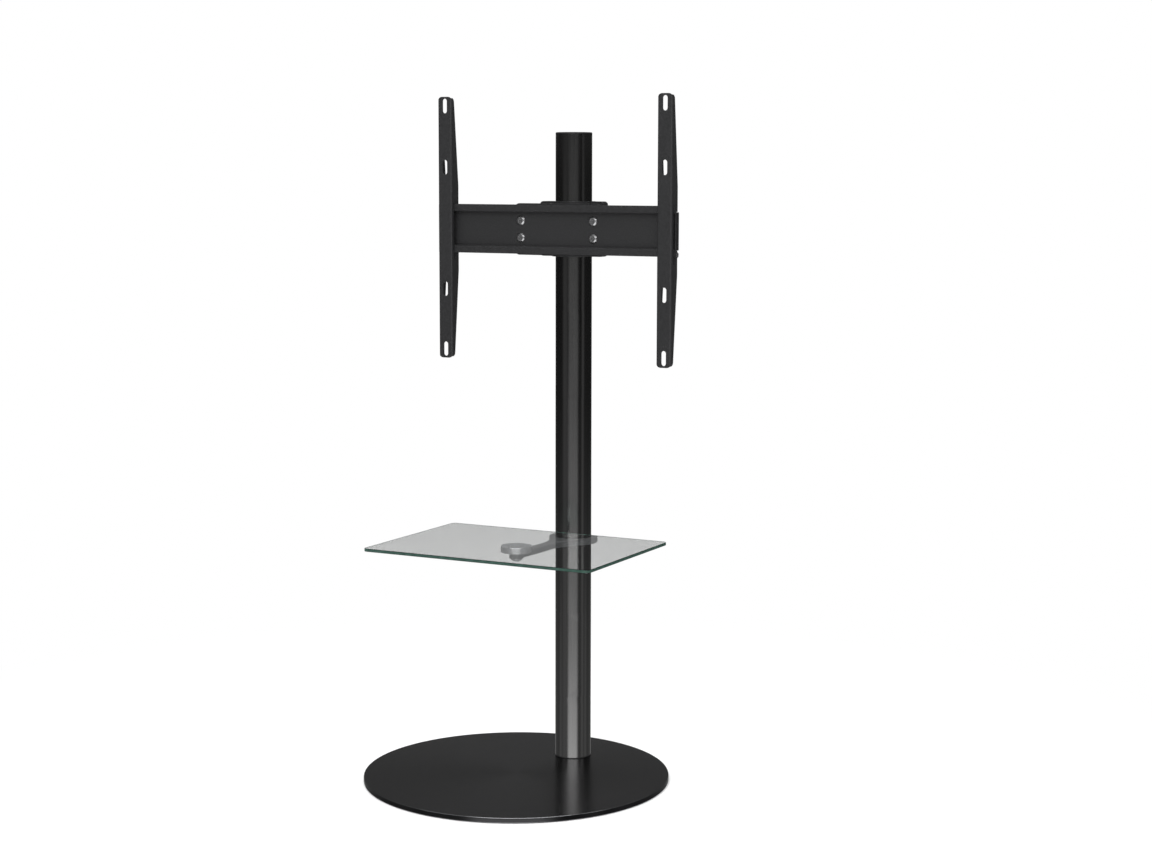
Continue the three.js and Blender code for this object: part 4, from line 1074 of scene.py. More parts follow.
def hexagon_body(flats, bottom, top, bore):
    """A hexagon nut or head along Z with its corners chamfered at both ends, bored where bore is over 0."""
    half = flats / 2
    reach = half / math.cos(math.pi / 6)
    face, drop = half * HEX_CHAMFER[0], (reach - half) * HEX_CHAMFER[1]
    outer = [(face, bottom), (reach, bottom + drop), (reach, top - drop), (face, top)]
    if bore > 0:
        rim = FINE_EDGE
        inner = [(bore + rim, top), (bore, top - rim), (bore, bottom + rim), (bore + rim, bottom)]
    else:
        outer, inner = [(0, bottom), *outer], [(0, top)]
    profile = np.array(outer + inner)
    return revolved(profile, SMALL_SIDES, np.where(profile[:, 0] > half * 0.9, half, np.inf))


def hex_bolt(flats, radius, pitch, start, seat, thread, tip):
    """A hexagon bolt along +X: its head from start to seat, and its thread from thread to tip."""
    head = hexagon_body(flats, start, seat, 0)
    return (head + cylinder(radius, seat - SEAT_GAP, thread) + threaded(radius, pitch, thread, tip)).turned(TO_RIGHT)


def swivel_stop_screw():
    size = extent("swivel_stop_screw")
    return button_screw(STOP_SCREW_SHANK, size[1] - STOP_SCREW_HEAD, size[0] / 2, STOP_SCREW_HEAD).turned(TO_BACK)


# Shelf


def glass_shelf():
    width, depth, height = extent("glass_shelf")
    return plate(rectangle(width, depth, SHELF_CORNER), (), height, GLASS_ARRIS, 3)


def bracket_outline(reach):
    """The casting's plan: the collar's arc, a flare, the arm's side, the boss's arc, and the same back.

    A flare's circle touches the arm's side and the collar's circle, so its centre is a flare radius from the
    one and the sum of both radii from the other.
    """
    side = ARM_HALF_WIDTH + ARM_FLARE
    drop = -math.sqrt((COLLAR_RADIUS + ARM_FLARE) ** 2 - side ** 2)
    turn = math.atan2(-drop, side)
    nose = math.asin(math.sqrt(1 - (ARM_HALF_WIDTH / BOSS_RADIUS) ** 2))
    return np.vstack([
        arc((side, drop), ARM_FLARE, math.pi - turn, math.pi, 24)[:-1],
        arc((0, -reach), BOSS_RADIUS, nose, -math.pi - nose, 32),
        arc((-side, drop), ARM_FLARE, 0, turn, 24)[1:-1],
        arc((0, 0), COLLAR_RADIUS, math.pi + turn, -turn, 72),
    ])[::-1]


def shelf_bracket():
    """One casting: its faces lie level on the collar and climb evenly along the arm to the boss.

    From the collar to the arm the underside also rises, by what the arm is thinner.
    """
    reach = AXIS[1] - PAD_AXIS[1]
    body = plate(bracket_outline(reach), [ring(COLLAR_BORE, ROUND_SIDES)], COLLAR_HEIGHT, CAST_EDGE, ARC_STEPS)
    boss_top = high("shelf_bracket")[2]
    collar_top = boss_top - BOSS_PROUD - ARM_RISE
    ahead, up = -body.points[:, 1], body.points[:, 2]
    along = np.clip((ahead - COLLAR_RADIUS) / (reach - COLLAR_RADIUS), 0, None)
    near = np.clip((ahead - COLLAR_RADIUS * ARM_START[0]) / (COLLAR_RADIUS * ARM_START[1]), 0, 1)
    thinner = (COLLAR_HEIGHT - ARM_THICKNESS) * near * (1 - up / COLLAR_HEIGHT)
    body.points[:, 2] += collar_top - COLLAR_HEIGHT + ARM_RISE * along + thinner
    edge = BOSS_PROUD * 0.9
    boss_bottom = boss_top - ARM_THICKNESS - 2 * BOSS_PROUD
    boss = revolved(profile_of(
        (0, boss_bottom), rim_of(BOSS_RADIUS, boss_bottom, boss_top, edge), (0, boss_top))).moved(y=-reach)
    hole = cylinder(SET_SCREW_RADIUS + RUN_GAP, 0, COLLAR_RADIUS * 2)
    return cut(join(body, boss), *(set_screw_place(hole, side) for side in (-1, 1)))


def set_screw_place(shell, side):
    """Moves a shape made along Z to a radial hole at the collar's back."""
    return shell.turned(TO_BACK).spun(-side * SET_SCREW_ANGLE).moved(z=middle("collar_set_screw_left")[2])


def collar_set_screw():
    """A grub screw along Z whose socket faces out."""
    start, end = COLLAR_BORE, COLLAR_RADIUS - CAST_EDGE
    radius = SET_SCREW_RADIUS
    return socketed([(0, start), (radius - FINE_EDGE, start), (radius, start + FINE_EDGE), (radius, end - FINE_EDGE),
                     (radius - FINE_EDGE, end)], radius * SOCKET, end, end - radius)


def shelf_pad():
    """A round pad with chamfered edges, and the lid over its screw's hole."""
    size = extent("shelf_pad")
    radius, height = size[0] / 2, size[2]
    hole, chamfer, soft = SHELF_SCREW_SHANK + RUN_GAP, PAD_CHAMFER, PAD_CHAMFER / 4
    profile = rounded([
        (hole, 0), (radius - chamfer, 0), (radius, chamfer), (radius, height - chamfer),
        (radius - chamfer, height), (hole, height),
    ], [0, soft, soft, soft, soft, 0], 3)
    return join(revolved(profile), cylinder(hole, height * 0.8, height, ROUND_SIDES))


def shelf_screw():
    """A domed screw from below, with its head down."""
    size = extent("shelf_screw")
    return button_screw(SHELF_SCREW_SHANK, size[2] - SHELF_SCREW_HEAD, size[0] / 2, SHELF_SCREW_HEAD,
                        SHELF_SCREW_SOCKET).turned(UPSIDE_DOWN)


# Clamp


def saddle_half():
    """One clamp half in front of the column: its plan is a half ring with two ears, and its ears are rounded."""
    outer = SADDLE_BORE + SADDLE_WALL
    width, _, height = extent("front_saddle")
    reach, back, front = width / 2, -SADDLE_SPLIT, -SADDLE_SPLIT - EAR_THICKNESS
    bore_turn = math.asin(SADDLE_SPLIT / SADDLE_BORE)
    ear_turn = math.asin(-front / outer)
    plan = np.vstack([
        arc((0, 0), SADDLE_BORE, -bore_turn, -math.pi + bore_turn, 48), [(-reach, back), (-reach, front)],
        arc((0, 0), outer, -math.pi + ear_turn, -ear_turn, 56), [(reach, front), (reach, back)],
    ])
    body = plate(plan, (), height, SADDLE_EDGE).moved(z=-height / 2)
    return common(body, prism(rectangle(width, height, EAR_ROUND), -outer * 2, outer * 2).turned(TO_FRONT))


def cheek():
    """A side plate with the pivot's hole and the arc slot of the lock stud, drawn in the side view."""
    angle = math.atan2(LOCK[1], LOCK[0])
    slot = arc_slot(math.hypot(*LOCK), 2 * (M8_RADIUS + RUN_GAP), *(angle + turn for turn in TILT_SPAN))
    plain = plate(belt(CHEEK_CIRCLES, 16), [ring(M8_RADIUS + RUN_GAP), slot], CHEEK[1] - CHEEK[0], SHEET_EDGE)
    return plain.turned(TO_RIGHT).moved(x=CHEEK[0], y=PIVOT[1] - AXIS[1])


def weld_bead(start, end, radius):
    """A weld: a round bead between two points with half-round ends, whose radius swells with each ripple along it."""
    start, end = np.asarray(start, float), np.asarray(end, float)
    length = np.linalg.norm(end - start)
    t = np.linspace(0, 1, max(12, int(length / WELD_RIPPLE * 8)) + 1)
    past = (np.abs(2 * t - 1) * length / 2 - length / 2 + radius).clip(0)
    swell = 1 - WELD_SWELL + WELD_SWELL * np.abs(np.sin(math.pi * t * length / WELD_RIPPLE))
    reach = radius * np.sqrt(np.clip(1 - past ** 2 / radius ** 2, 0, 1)) * swell
    along = unit(end - start)
    side = unit(np.cross(along, (0.3, 0.5, 0.8)))
    angle = np.linspace(0, 2 * math.pi, 16, endpoint=False)[:, None]
    section = np.cos(angle) * side + np.sin(angle) * np.cross(along, side)
    return grid((start + (end - start) * t[:, None])[:, None] + reach[:, None, None] * section[None])


def weld_beads(seams, bottom, top, radius):
    """Upright beads at places (x, y), and the same on the other side."""
    beads = Shell([])
    for seam in seams:
        beads = beads + weld_bead((*seam, bottom), (*seam, top), radius)
    return beads + beads.mirrored()


def front_saddle():
    """The front half with its two cheeks, and the welds along them."""
    seam = SADDLE_BORE + SADDLE_WALL
    seams = [(x, min(-math.sqrt(max(seam ** 2 - x ** 2, 0)) - SHEET_EDGE, -SADDLE_SPLIT - EAR_THICKNESS))
             for x in CHEEK]
    right = cheek()
    return join(saddle_half(), right, right.mirrored()), weld_beads(seams, -CHEEK_WELD, CHEEK_WELD, WELD_BEAD)


def rear_saddle():
    made = saddle_half()
    made.transform(Matrix.Rotation(math.pi, 4, "Z"))
    return made


def pivot_bolt():
    """A hexagon bolt through both cheeks, its head on the left."""
    left, right = ends("tilt_pivot_bolt", 0, AXIS)
    thread = ends("tilt_pivot_nut", 0, AXIS)[1] - M8_NUT
    return hex_bolt(M8_FLATS, M8_RADIUS, M8_PITCH, left, -TILT_EAR[1] - SEAT_GAP, thread, right)


def clamp_bolt():
    """A cylinder-head bolt from the back, with its thread past the nut."""
    seat = SADDLE_SPLIT + EAR_THICKNESS + SEAT_GAP
    plain = seat + SADDLE_SPLIT + EAR_THICKNESS
    tail = threaded(M8_RADIUS, M8_PITCH, plain - seat - SEAT_GAP, AXIS[1] - low("clamp_bolt_1")[1])
    return cap_screw(M8_RADIUS, plain, *CAP_HEAD).moved(z=seat).turned(TO_BACK) + tail.turned(TO_FRONT)


# Tilting head


def tilt_bracket():
    """The plate, its two welded ears and the four weld nuts on its back, and the welds."""
    width, _, height = extent("tilt_bracket")
    face = low("tilt_bracket")[1] - PIVOT[1]
    back = face + PLATE_THICKNESS
    foot = back - SEAT_GAP
    body = plate(rectangle(width, height, PLATE_ROUND), (), PLATE_THICKNESS, SHEET_EDGE)
    circles = [
        (foot, TILT_EAR_BOTTOM, TILT_EAR_CORNER), (*LOCK, TILT_EAR_LOCK),
        (0, 0, TILT_EAR_PIVOT), (foot, TILT_EAR_TOP, TILT_EAR_CORNER),
    ]
    ear = plate(belt(circles, 16), [ring(M8_RADIUS + RUN_GAP)], TILT_EAR[1] - TILT_EAR[0], SHEET_EDGE)
    ear = ear.turned(TO_RIGHT).moved(x=TILT_EAR[0])
    in_front = block((-width, face - PLATE_THICKNESS, -height), (width, face, height))
    nut = hexagon_body(M8_FLATS, 0, M8_NUT, M8_RADIUS + RUN_GAP).turned(TO_BACK)
    nuts = [nut.moved(x * CROSSBAR_BOLT[0], foot, z * CROSSBAR_BOLT[1]) for x in (-1, 1) for z in (-1, 1)]
    beads = weld_beads([(x, back) for x in TILT_EAR], TILT_EAR_BOTTOM, TILT_EAR_TOP, EAR_WELD)
    ears = cut(join(ear, ear.mirrored()), in_front)
    return join(body.turned(TO_FRONT).moved(y=back), ears, *nuts), beads


def lock_stud():
    """A stud along +X, its flat round head inside the cheek."""
    seat = CHEEK[0] - SEAT_GAP
    tip = ends("tilt_lock_stud_right", 0, AXIS)[1]
    head, height = LOCK_HEAD
    edge = height / 5
    return revolved(profile_of(
        (0, seat - height), corner(head - edge, seat - height + edge, edge, -90, 0, 3),
        (head, seat - FINE_EDGE), (head - FINE_EDGE, seat), (M8_RADIUS, seat),
        (M8_RADIUS, tip - FINE_EDGE), (M8_RADIUS - FINE_EDGE, tip), (0, tip),
    ), SMALL_SIDES).turned(TO_RIGHT)


def lock_knob():
    """A hand knob along +X: a round hub that swells into a lobed grip with a dished face.

    Each profile point carries its own share of the lobes, none on the hub and the full depth on the grip.
    """
    start, end = ends("tilt_knob_right", 0, AXIS)
    bore, bore_end = M8_RADIUS + RUN_GAP, ends("tilt_lock_stud_right", 0, AXIS)[1] + RUN_GAP
    hub, hub_height = KNOB_HUB
    base = start + hub_height
    profile = profile_of(
        (bore, start), (hub - FINE_EDGE, start), (hub, start + FINE_EDGE), (hub, base - FINE_EDGE),
        rim_of(KNOB_GRIP, base, end, KNOB_EDGE, ARC_STEPS),
        (KNOB_GRIP * KNOB_DISH_RIM[0], end), (KNOB_GRIP * KNOB_DISH_RIM[1], end - KNOB_DISH), (0, end - KNOB_DISH),
        (0, bore_end), (bore, bore_end),
    )
    depth = np.interp(profile[:, 0], [hub, KNOB_GRIP - KNOB_EDGE], [0, 1]) * KNOB_LOBE_DEPTH
    depth[:4] = 0
    return revolved(profile, KNOB_SIDES, lobes=depth).turned(TO_RIGHT)


def crossbar():
    """A folded bar. The upper half of its section is a list of (depth, height), and the lower half mirrors it."""
    front, back = ends("crossbar", 1, PIVOT)
    length, _, height = extent("crossbar")
    lip, inner = front + CROSSBAR_GAUGE, CROSSBAR_HALF - CROSSBAR_GAUGE
    upper = [(back, CROSSBAR_HALF), (lip, CROSSBAR_HALF), (lip, height / 2), (front, height / 2), (front, inner),
             (back - CROSSBAR_GAUGE, inner)]
    small = CROSSBAR_BEND - CROSSBAR_GAUGE
    radii = [CROSSBAR_BEND, small, FINE_EDGE, FINE_EDGE, CROSSBAR_BEND, small]
    section = rounded(upper + [(y, -z) for y, z in upper][::-1], radii + radii[::-1], 5)
    return plate(section, (), length, FINE_EDGE / 2).turned(TO_RIGHT).moved(x=-length / 2)


def end_cap():
    """The right end's cap: a rounded cover in the outline of the section and a plug between the flanges."""
    front, back = ends("crossbar", 1, PIVOT)
    start = ends("crossbar", 0, AXIS)[1] + SEAT_GAP
    tail, end = ends("crossbar_end_cap_right", 0, AXIS)
    covers = [
        plate(rectangle(depth, height, END_CAP_CORNER, (front + depth / 2, 0)), (), end - start, END_CAP_EDGE, 3)
        for depth, height in ((back - front, 2 * CROSSBAR_HALF), (CROSSBAR_GAUGE, extent("crossbar")[2]))
    ]
    inner = CROSSBAR_HALF - CROSSBAR_GAUGE - RUN_GAP
    plug = block((front + CROSSBAR_GAUGE, -inner, tail - start),
                 (back - CROSSBAR_GAUGE - RUN_GAP, inner, END_CAP_EDGE))
    return shell_from(join(*covers, plug)).turned(TO_RIGHT).moved(x=start)


def rail():
    """A folded rail: at each height its section is a channel whose flanges are as deep as the side view says.

    The section is a path round the channel, outside and back inside, with the bends as arcs. The notch for the
    crossbar, the screw slots and the bolt's hole are cut out of it, and its ends are rounded.
    """
    width, deepest, height = extent("rail_left")
    half_width, end = width / 2, height / 2
    front = low("rail_left")[1] - PIVOT[1]
    heights = np.concatenate([
        np.linspace(-end, -RAIL_HOOK_REACH, 24), np.linspace(-RAIL_HOOK_REACH, RAIL_HOOK_REACH, 24)[1:-1],
        np.linspace(RAIL_HOOK_REACH, end, 24),
    ])
    depth = np.interp(np.abs(heights), [RAIL_HOOK_REACH, end], [deepest, RAIL_END_DEPTH])
    outer, inner = (arc((half_width - RAIL_BEND, RAIL_BEND), radius, -math.pi / 2, 0, steps)
                    for radius, steps in ((RAIL_BEND, 6), (RAIL_BEND - RAIL_GAUGE, 3)))
    left, free = (-1, 1), np.nan  # a flange's free edge gets its depth row by row
    path = profile_of(
        (half_width, free), outer[::-1], outer * left, (-half_width, free),
        (-half_width + RAIL_GAUGE, free), inner[::-1] * left, inner, (half_width - RAIL_GAUGE, free),
    )
    across = np.repeat(path[None, :, 0], len(heights), 0)
    down = np.where(np.isnan(path[:, 1]), depth[:, None], path[:, 1]) + front
    points = np.stack([across, down, np.repeat(heights[:, None], len(path), 1)], -1)
    channel = grid(points)
    caps = [np.array(tessellate_polygon([points[row].tolist()])) + row % len(heights) * len(path) for row in (0, -1)]
    channel.triangles = np.vstack([caps[0][:, ::-1], caps[1]])
    bar_front, bar_back = ends("crossbar", 1, PIVOT)
    hook, lip = bar_front - RUN_GAP, bar_front + CROSSBAR_GAUGE + RUN_GAP
    tip = extent("crossbar")[2] / 2 + RAIL_GAP
    half, foot = CROSSBAR_HALF + RAIL_GAP, -tip - RAIL_LIFT
    past = front + deepest + bar_back - bar_front
    notch = rounded(
        [(hook, tip), (hook, foot), (lip, foot), (lip, -half), (past, -half), (past, half), (lip, half), (lip, tip)],
        NOTCH_ROUND * np.array([1, 1, 1, 0.5, 0, 0, 0.5, 1]), 3)
    _, y, z = middle("rail_lock_nut_left") - PIVOT
    return cut(
        common(channel, prism(rectangle(width, height, RAIL_END_ROUND), -TOOL_REACH, TOOL_REACH).turned(TO_FRONT)),
        prism(notch, -width, width).turned(TO_RIGHT),
        cylinder(M5_RADIUS + RUN_GAP, -TOOL_REACH / 2, TOOL_REACH / 2).turned(TO_RIGHT).moved(y=y, z=z),
        *(prism(obround(*SLOT, (0, share * SLOT_PATTERN)), -TOOL_REACH, TOOL_REACH).turned(TO_FRONT)
          for share in SLOT_SHARES),
    )


def rail_bolt(side):
    """A small hexagon bolt across a rail, its head on the left."""
    centre = middle(f"rail_{side}")
    start, tip = ends(f"rail_lock_bolt_{side}", 0, centre)
    seat = ends(f"rail_{side}", 0, centre)[0] - SEAT_GAP
    return hex_bolt(M5_FLATS, M5_RADIUS, M5_PITCH, start, seat, ends(f"rail_lock_nut_{side}", 0, centre)[0], tip)


# Operators

UNDOABLE = {"REGISTER", "UNDO"}


class STAND_OT_base(bpy.types.Operator):
    """Build the base disc with its pads and screws"""

    bl_idname = "stand.base"
    bl_label = "Base"
    bl_options = UNDOABLE

    def execute(self, context):
        pieces = [finished("base_disc", "spun", base_disc(), "base", "base_steel", (*DISC_CENTRE, 0))]
        for node in FOOT_PADS:
            pieces.append(finished(node, "moulded", foot_pad(), "base", "black_rubber", (*middle(node)[:2], 0)))
        for node in FOOT_SCREWS:
            pieces.append(finished(node, "turned", foot_screw(), "base", "zinc_plate", (*middle(node)[:2], 0)))
        for piece in pieces:
            piece.visible_glossy = False
        finished("thrust_washer", "moulded", thrust_washer(), "base", "black_plastic", AXIS_FOOT)
        return {"FINISHED"}


class STAND_OT_swivel(bpy.types.Operator):
    """Give the swivel's inner pieces their finishes"""

    bl_idname = "stand.swivel"
    bl_label = "Swivel"
    bl_options = UNDOABLE

    def execute(self, context):
        for node, slot in (("foot_spigot", "machined_steel"), ("spigot_circlip", "zinc_plate"),
                           ("lower_bush", "nylon"), ("upper_bush", "nylon")):
            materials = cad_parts[node].data.materials
            materials.clear()
            materials.append(material(slot))
        return {"FINISHED"}


class STAND_OT_column(bpy.types.Operator):
    """Build the column with its cap, its cable edgings and the stop screw"""

    bl_idname = "stand.column"
    bl_label = "Column"
    bl_options = UNDOABLE

    def execute(self, context):
        finished("column_tube", "brushed", column_tube(), "column", "column_steel", AXIS_FOOT)
        finished("column_cap", "moulded", column_cap(), "column", "black_plastic", AXIS_FOOT)
        for node in GROMMETS:
            finished(node, "moulded", grommet(node), "column", "black_rubber", AXIS_FOOT)
        x, _, z = middle("swivel_stop_screw")
        finished("swivel_stop_screw", "turned", swivel_stop_screw(), "column", "zinc_plate",
                 (x, AXIS[1] + COLUMN_RADIUS + SEAT_GAP, z))
        return {"FINISHED"}


class STAND_OT_shelf(bpy.types.Operator):
    """Build the glass shelf, its pad, its bracket and their screws"""

    bl_idname = "stand.shelf"
    bl_label = "Shelf"
    bl_options = UNDOABLE

    def execute(self, context):
        shelf = finished("glass_shelf", "polished", glass_shelf(), "shelf", "clear_glass",
                         (*middle("glass_shelf")[:2], low("glass_shelf")[2]), crease=25)
        shelf.data.materials.append(material("glass_edge"))
        for face in shelf.data.polygons:
            face.material_index = int(abs(face.normal.z) < GROUND_SLOPE)
        shelf.visible_shadow = False
        finished("shelf_pad", "polished", shelf_pad(), "shelf", "polished_steel", (*PAD_AXIS, low("shelf_pad")[2]))
        finished("shelf_screw", "turned", shelf_screw(), "shelf", "polished_steel",
                 (*PAD_AXIS, low("shelf_screw")[2] + SHELF_SCREW_HEAD))
        finished("shelf_bracket", "cast", shelf_bracket(), "shelf_carrier", "cast_metal", AXIS_FOOT, crease=40)
        for side, sign in (("left", -1), ("right", 1)):
            finished(f"collar_set_screw_{side}", "turned", set_screw_place(collar_set_screw(), sign),
                     "shelf_carrier", "zinc_plate", AXIS_FOOT)
        return {"FINISHED"}


class STAND_OT_clamp(bpy.types.Operator):
    """Build the clamp on the column with its bolts and the tilt pivot"""

    bl_idname = "stand.clamp"
    bl_label = "Clamp"
    bl_options = UNDOABLE

    def execute(self, context):
        welded("front_saddle", front_saddle(), "head", MOUNT)
        finished("rear_saddle", "pressed", rear_saddle(), "head", "mount_paint", MOUNT)
        nut = hexagon_body(M8_FLATS, 0, M8_NUT, M8_RADIUS)
        clamp_nut = nut.turned(TO_FRONT).moved(y=-(SADDLE_SPLIT + EAR_THICKNESS + SEAT_GAP))
        for i in range(1, 5):
            x, _, z = middle(f"clamp_bolt_{i}")
            for node, shape in ((f"clamp_bolt_{i}", clamp_bolt()), (f"clamp_nut_{i}", clamp_nut)):
                finished(node, "turned", shape, "head", "zinc_plate", (x, AXIS[1], z))
        pivot_nut = nut.turned(TO_RIGHT).moved(x=ends("tilt_pivot_nut", 0, AXIS)[0])
        for node, shape in (("tilt_pivot_bolt", pivot_bolt()), ("tilt_pivot_nut", pivot_nut)):
            finished(node, "turned", shape, "head", "zinc_plate", PIVOT)
        return {"FINISHED"}


def welded(node, shapes, body, place):
    """A painted piece, and its welds as an addition that hangs on it."""
    piece = finished(node, "welded", shapes[0], body, "mount_paint", place)
    finished(node, "welds", shapes[1], body, "mount_paint", place, replaces=False).parent = piece


class STAND_OT_tilt(bpy.types.Operator):
    """Build the tilting bracket, the crossbar, the lock studs and their knobs"""

    bl_idname = "stand.tilt"
    bl_label = "Tilting Head"
    bl_options = UNDOABLE

    def execute(self, context):
        welded("tilt_bracket", tilt_bracket(), "tilt", PIVOT)
        finished("crossbar", "folded", crossbar(), "tilt", "mount_paint", PIVOT)
        seat = high("crossbar")[1] - CROSSBAR_GAUGE - SEAT_GAP
        for node in numbered("crossbar_bolt", 4):
            x, _, z = middle(node)
            screw = button_screw(M8_RADIUS, high(node)[1] - seat, *CROSSBAR_HEAD).turned(TO_FRONT)
            finished(node, "turned", screw, "tilt", "zinc_plate", (x, seat, z))
        spot = (AXIS[0], *(PIVOT[1:] + LOCK))
        cap, stud, knob = end_cap(), lock_stud(), lock_knob()
        for side, shape in (("right", cap), ("left", cap.mirrored())):
            finished(f"crossbar_end_cap_{side}", "moulded", shape, "tilt", "black_plastic", PIVOT)
        for side, shapes in (("right", (stud, knob)), ("left", (stud.mirrored(), knob.mirrored()))):
            finished(f"tilt_lock_stud_{side}", "turned", shapes[0], "tilt", "zinc_plate", spot)
            finished(f"tilt_knob_{side}", "moulded", shapes[1], f"tilt_knob_{side}", "black_plastic", spot, crease=50)
        return {"FINISHED"}


class STAND_OT_rails(bpy.types.Operator):
    """Build the two hook-on rails with their bolts"""

    bl_idname = "stand.rails"
    bl_label = "Rails"
    bl_options = UNDOABLE

    def execute(self, context):
        nut = hexagon_body(M5_FLATS, 0, extent("rail_lock_nut_left")[0], M5_RADIUS).turned(TO_RIGHT)
        for side in ("left", "right"):
            body, bolt, lock_nut = f"rail_{side}", f"rail_lock_bolt_{side}", f"rail_lock_nut_{side}"
            centre, place = middle(body)[0], middle(lock_nut)[1:]
            finished(body, "folded", rail(), body, "mount_paint", (centre, *PIVOT[1:]))
            finished(bolt, "turned", rail_bolt(side), body, "zinc_plate", (centre, *place))
            finished(lock_nut, "turned", nut, body, "zinc_plate", (low(lock_nut)[0], *place))
        return {"FINISHED"}


# Stage

FLOOR_PAINT = (0.93, 0.93, 0.93, 1.0)
WHITE = (1.0, 1.0, 1.0, 1.0)

# Two lamps light matt surfaces: azimuth from the camera's in degrees, or None for a place in front of the column,
# then distance, height, the target's height, size and power
LAMPS = {
    "Key Softbox": (-18, 2.6, 3.2, 0.4, (2.4, 2.0), 62),
    "Overhead Softbox": (None, 0.4, 3.6, 0.0, (2.6, 2.6), 40),
}

# Reflections see a studio in degrees of azimuth from the camera's side, and of elevation. A band of azimuth has a
# centre, half a width and a softness. The last three stand on both sides.
FRONT = (-3.0, 22.0, 17.0)
BOX_SIDE = (36.0, 6.0, 9.0)
LEFT_STRIP = (-56.0, 8.0, 14.0)
RIGHT_STRIP = (61.0, 3.0, 10.0)
BESIDE = (87.0, 4.0, 10.0)
BEHIND = (180.0, 24.0, 16.0)
FLOOR_BEHIND = (180.0, 14.0, 10.0)
ONE_SIDED = (FRONT, BOX_SIDE, LEFT_STRIP, RIGHT_STRIP)
TWO_SIDED = (BESIDE, BEHIND, FLOOR_BEHIND)

# A ramp of elevation is where it starts and ends, and the values before and after it if they aren't 0 and 1
ABOVE, BELOW = (-0.5, 2.5), (1.0, -1.5)
BOX_FOOT, BOX_TOP, STRIP_TOP = (8.8, 10.4), (46.0, 34.0), (24.0, 18.0)
OVERHEAD = (56.0, 72.0)
FLOOR_NEAR = (-5.0, -15.0)

# Patches: a band, its ramps, and its share of the light of the front softbox, of its patch on the floor or of the walls
FRONT_BOX = ((FRONT, (BOX_FOOT, BOX_TOP), 1.0),)
BOXES = (
    (LEFT_STRIP, (BOX_FOOT, STRIP_TOP), 0.14),
    (RIGHT_STRIP, (BOX_FOOT, STRIP_TOP), 0.26),
    (BOX_SIDE, ((18.0, 24.0), BOX_TOP), 0.50),
    (BEHIND, ((32.0, 38.0), (58.0, 48.0)), 0.35),
)
FLOOR_PATCHES = (
    (FRONT, ((-12.4, -16.0, 0.33, 2.60),), 1.0),
    (FRONT, ((-7.2, -8.4), (-11.0, -9.6)), 0.45),
    (LEFT_STRIP, (), 0.17),
    (RIGHT_STRIP, (), 0.22),
    (BESIDE, ((-9.0, -14.0),), 0.20),
    (FLOOR_BEHIND, ((-16.5, -13.5, 0.4, 1.0),), 0.45),
)
WALL_PATCHES = ((BEHIND, ((13.0, 11.2),), 1.15),)
WALL_FLOOR = (0.28, 1.3)  # what the floor gives back of the walls everywhere, and what it adds near the stand

# Where a reflection is seen directly, and not in another, the front softbox loses a share of its light on this ramp
DIRECT_RAMP, DIRECT_LOSS = (36.0, 26.0), 0.65
DIRECT_DEPTH = 3.0  # the Ray Depth at the world after two bounces


class STAND_OT_stage(bpy.types.Operator):
    """Set the camera, the floor, the lamps and the surroundings"""

    bl_idname = "stand.stage"
    bl_label = "Stage"
    bl_options = UNDOABLE

    def execute(self, context):
        place_camera()
        lay_floor()
        hang_lamps()
        surround()
        bpy.context.scene.view_settings.view_transform = "Standard"
        return {"FINISHED"}


def place_camera():
    data = bpy.data.cameras.new("Camera")
    data.sensor_width, data.lens, data.clip_end = 36, stage().lens, 100
    camera = linked("Camera", data)
    camera.location = stage().camera_place
    camera.rotation_euler = stage().camera_turn
    bpy.context.scene.camera = camera


def lay_floor():
    """A round floor, matt and pale under the stand, which turns into the plain white of the backdrop further out.

    Metal and glass reflect the studio in its place, so that its edge never shows in them.
    """
    rings = np.linspace(0, FLOOR_RADIUS, 9)[:, None]
    angle = np.linspace(0, 2 * math.pi, ROUND_SIDES, endpoint=False)[None, :]
    mesh = mesh_of(grid(np.stack([rings * np.cos(angle), rings * np.sin(angle), 0 * rings * angle], -1)))
    floor = linked("Floor", mesh)
    floor.visible_glossy = False
    made = bpy.data.materials.new("Floor")
    made.use_nodes = True
    made.node_tree.nodes.clear()
    g = Graph(made.node_tree)
    distance = g.vector("LENGTH", g.put("TexCoord").outputs["Object"])
    blend = g.mix_shaders(g.ramp(distance, *FLOOR_FADE), g.put("BsdfDiffuse", {"Color": FLOOR_PAINT}),
                          g.put("Emission", {"Color": WHITE, "Strength": 1.0}))
    path = g.put("LightPath").outputs
    mirrored = g.math("MULTIPLY", path["Is Transmission Ray"], path["Glossy Depth"], clamp=True)
    whole = g.mix_shaders(mirrored, blend, g.put("BsdfTransparent"))
    g.put("OutputMaterial", {0: whole.outputs[0]})
    mesh.materials.append(made)


def lamp(name, place, target, size, power):
    """A soft area lamp that looks at a target. Reflections see the world's softboxes in its place."""
    data = bpy.data.lights.new(name, "AREA")
    data.shape, data.energy = "RECTANGLE", power
    data.size, data.size_y = size
    light = linked(name, data)
    light.location = place
    x, y, z = np.subtract(place, target)
    light.rotation_euler = (math.atan2(math.hypot(x, y), z), 0, math.atan2(x, -y))
    light.visible_camera = light.visible_glossy = False


def hang_lamps():
    x, y, _ = stage().camera_place
    for name, (azimuth, distance, height, target, size, power) in LAMPS.items():
        turn = 0 if azimuth is None else math.atan2(x - AXIS[0], AXIS[1] - y) + math.radians(azimuth)
        place = (AXIS[0] + distance * math.sin(turn), AXIS[1] - distance * math.cos(turn), height)
        lamp(name, place, (*AXIS, target), size, power)


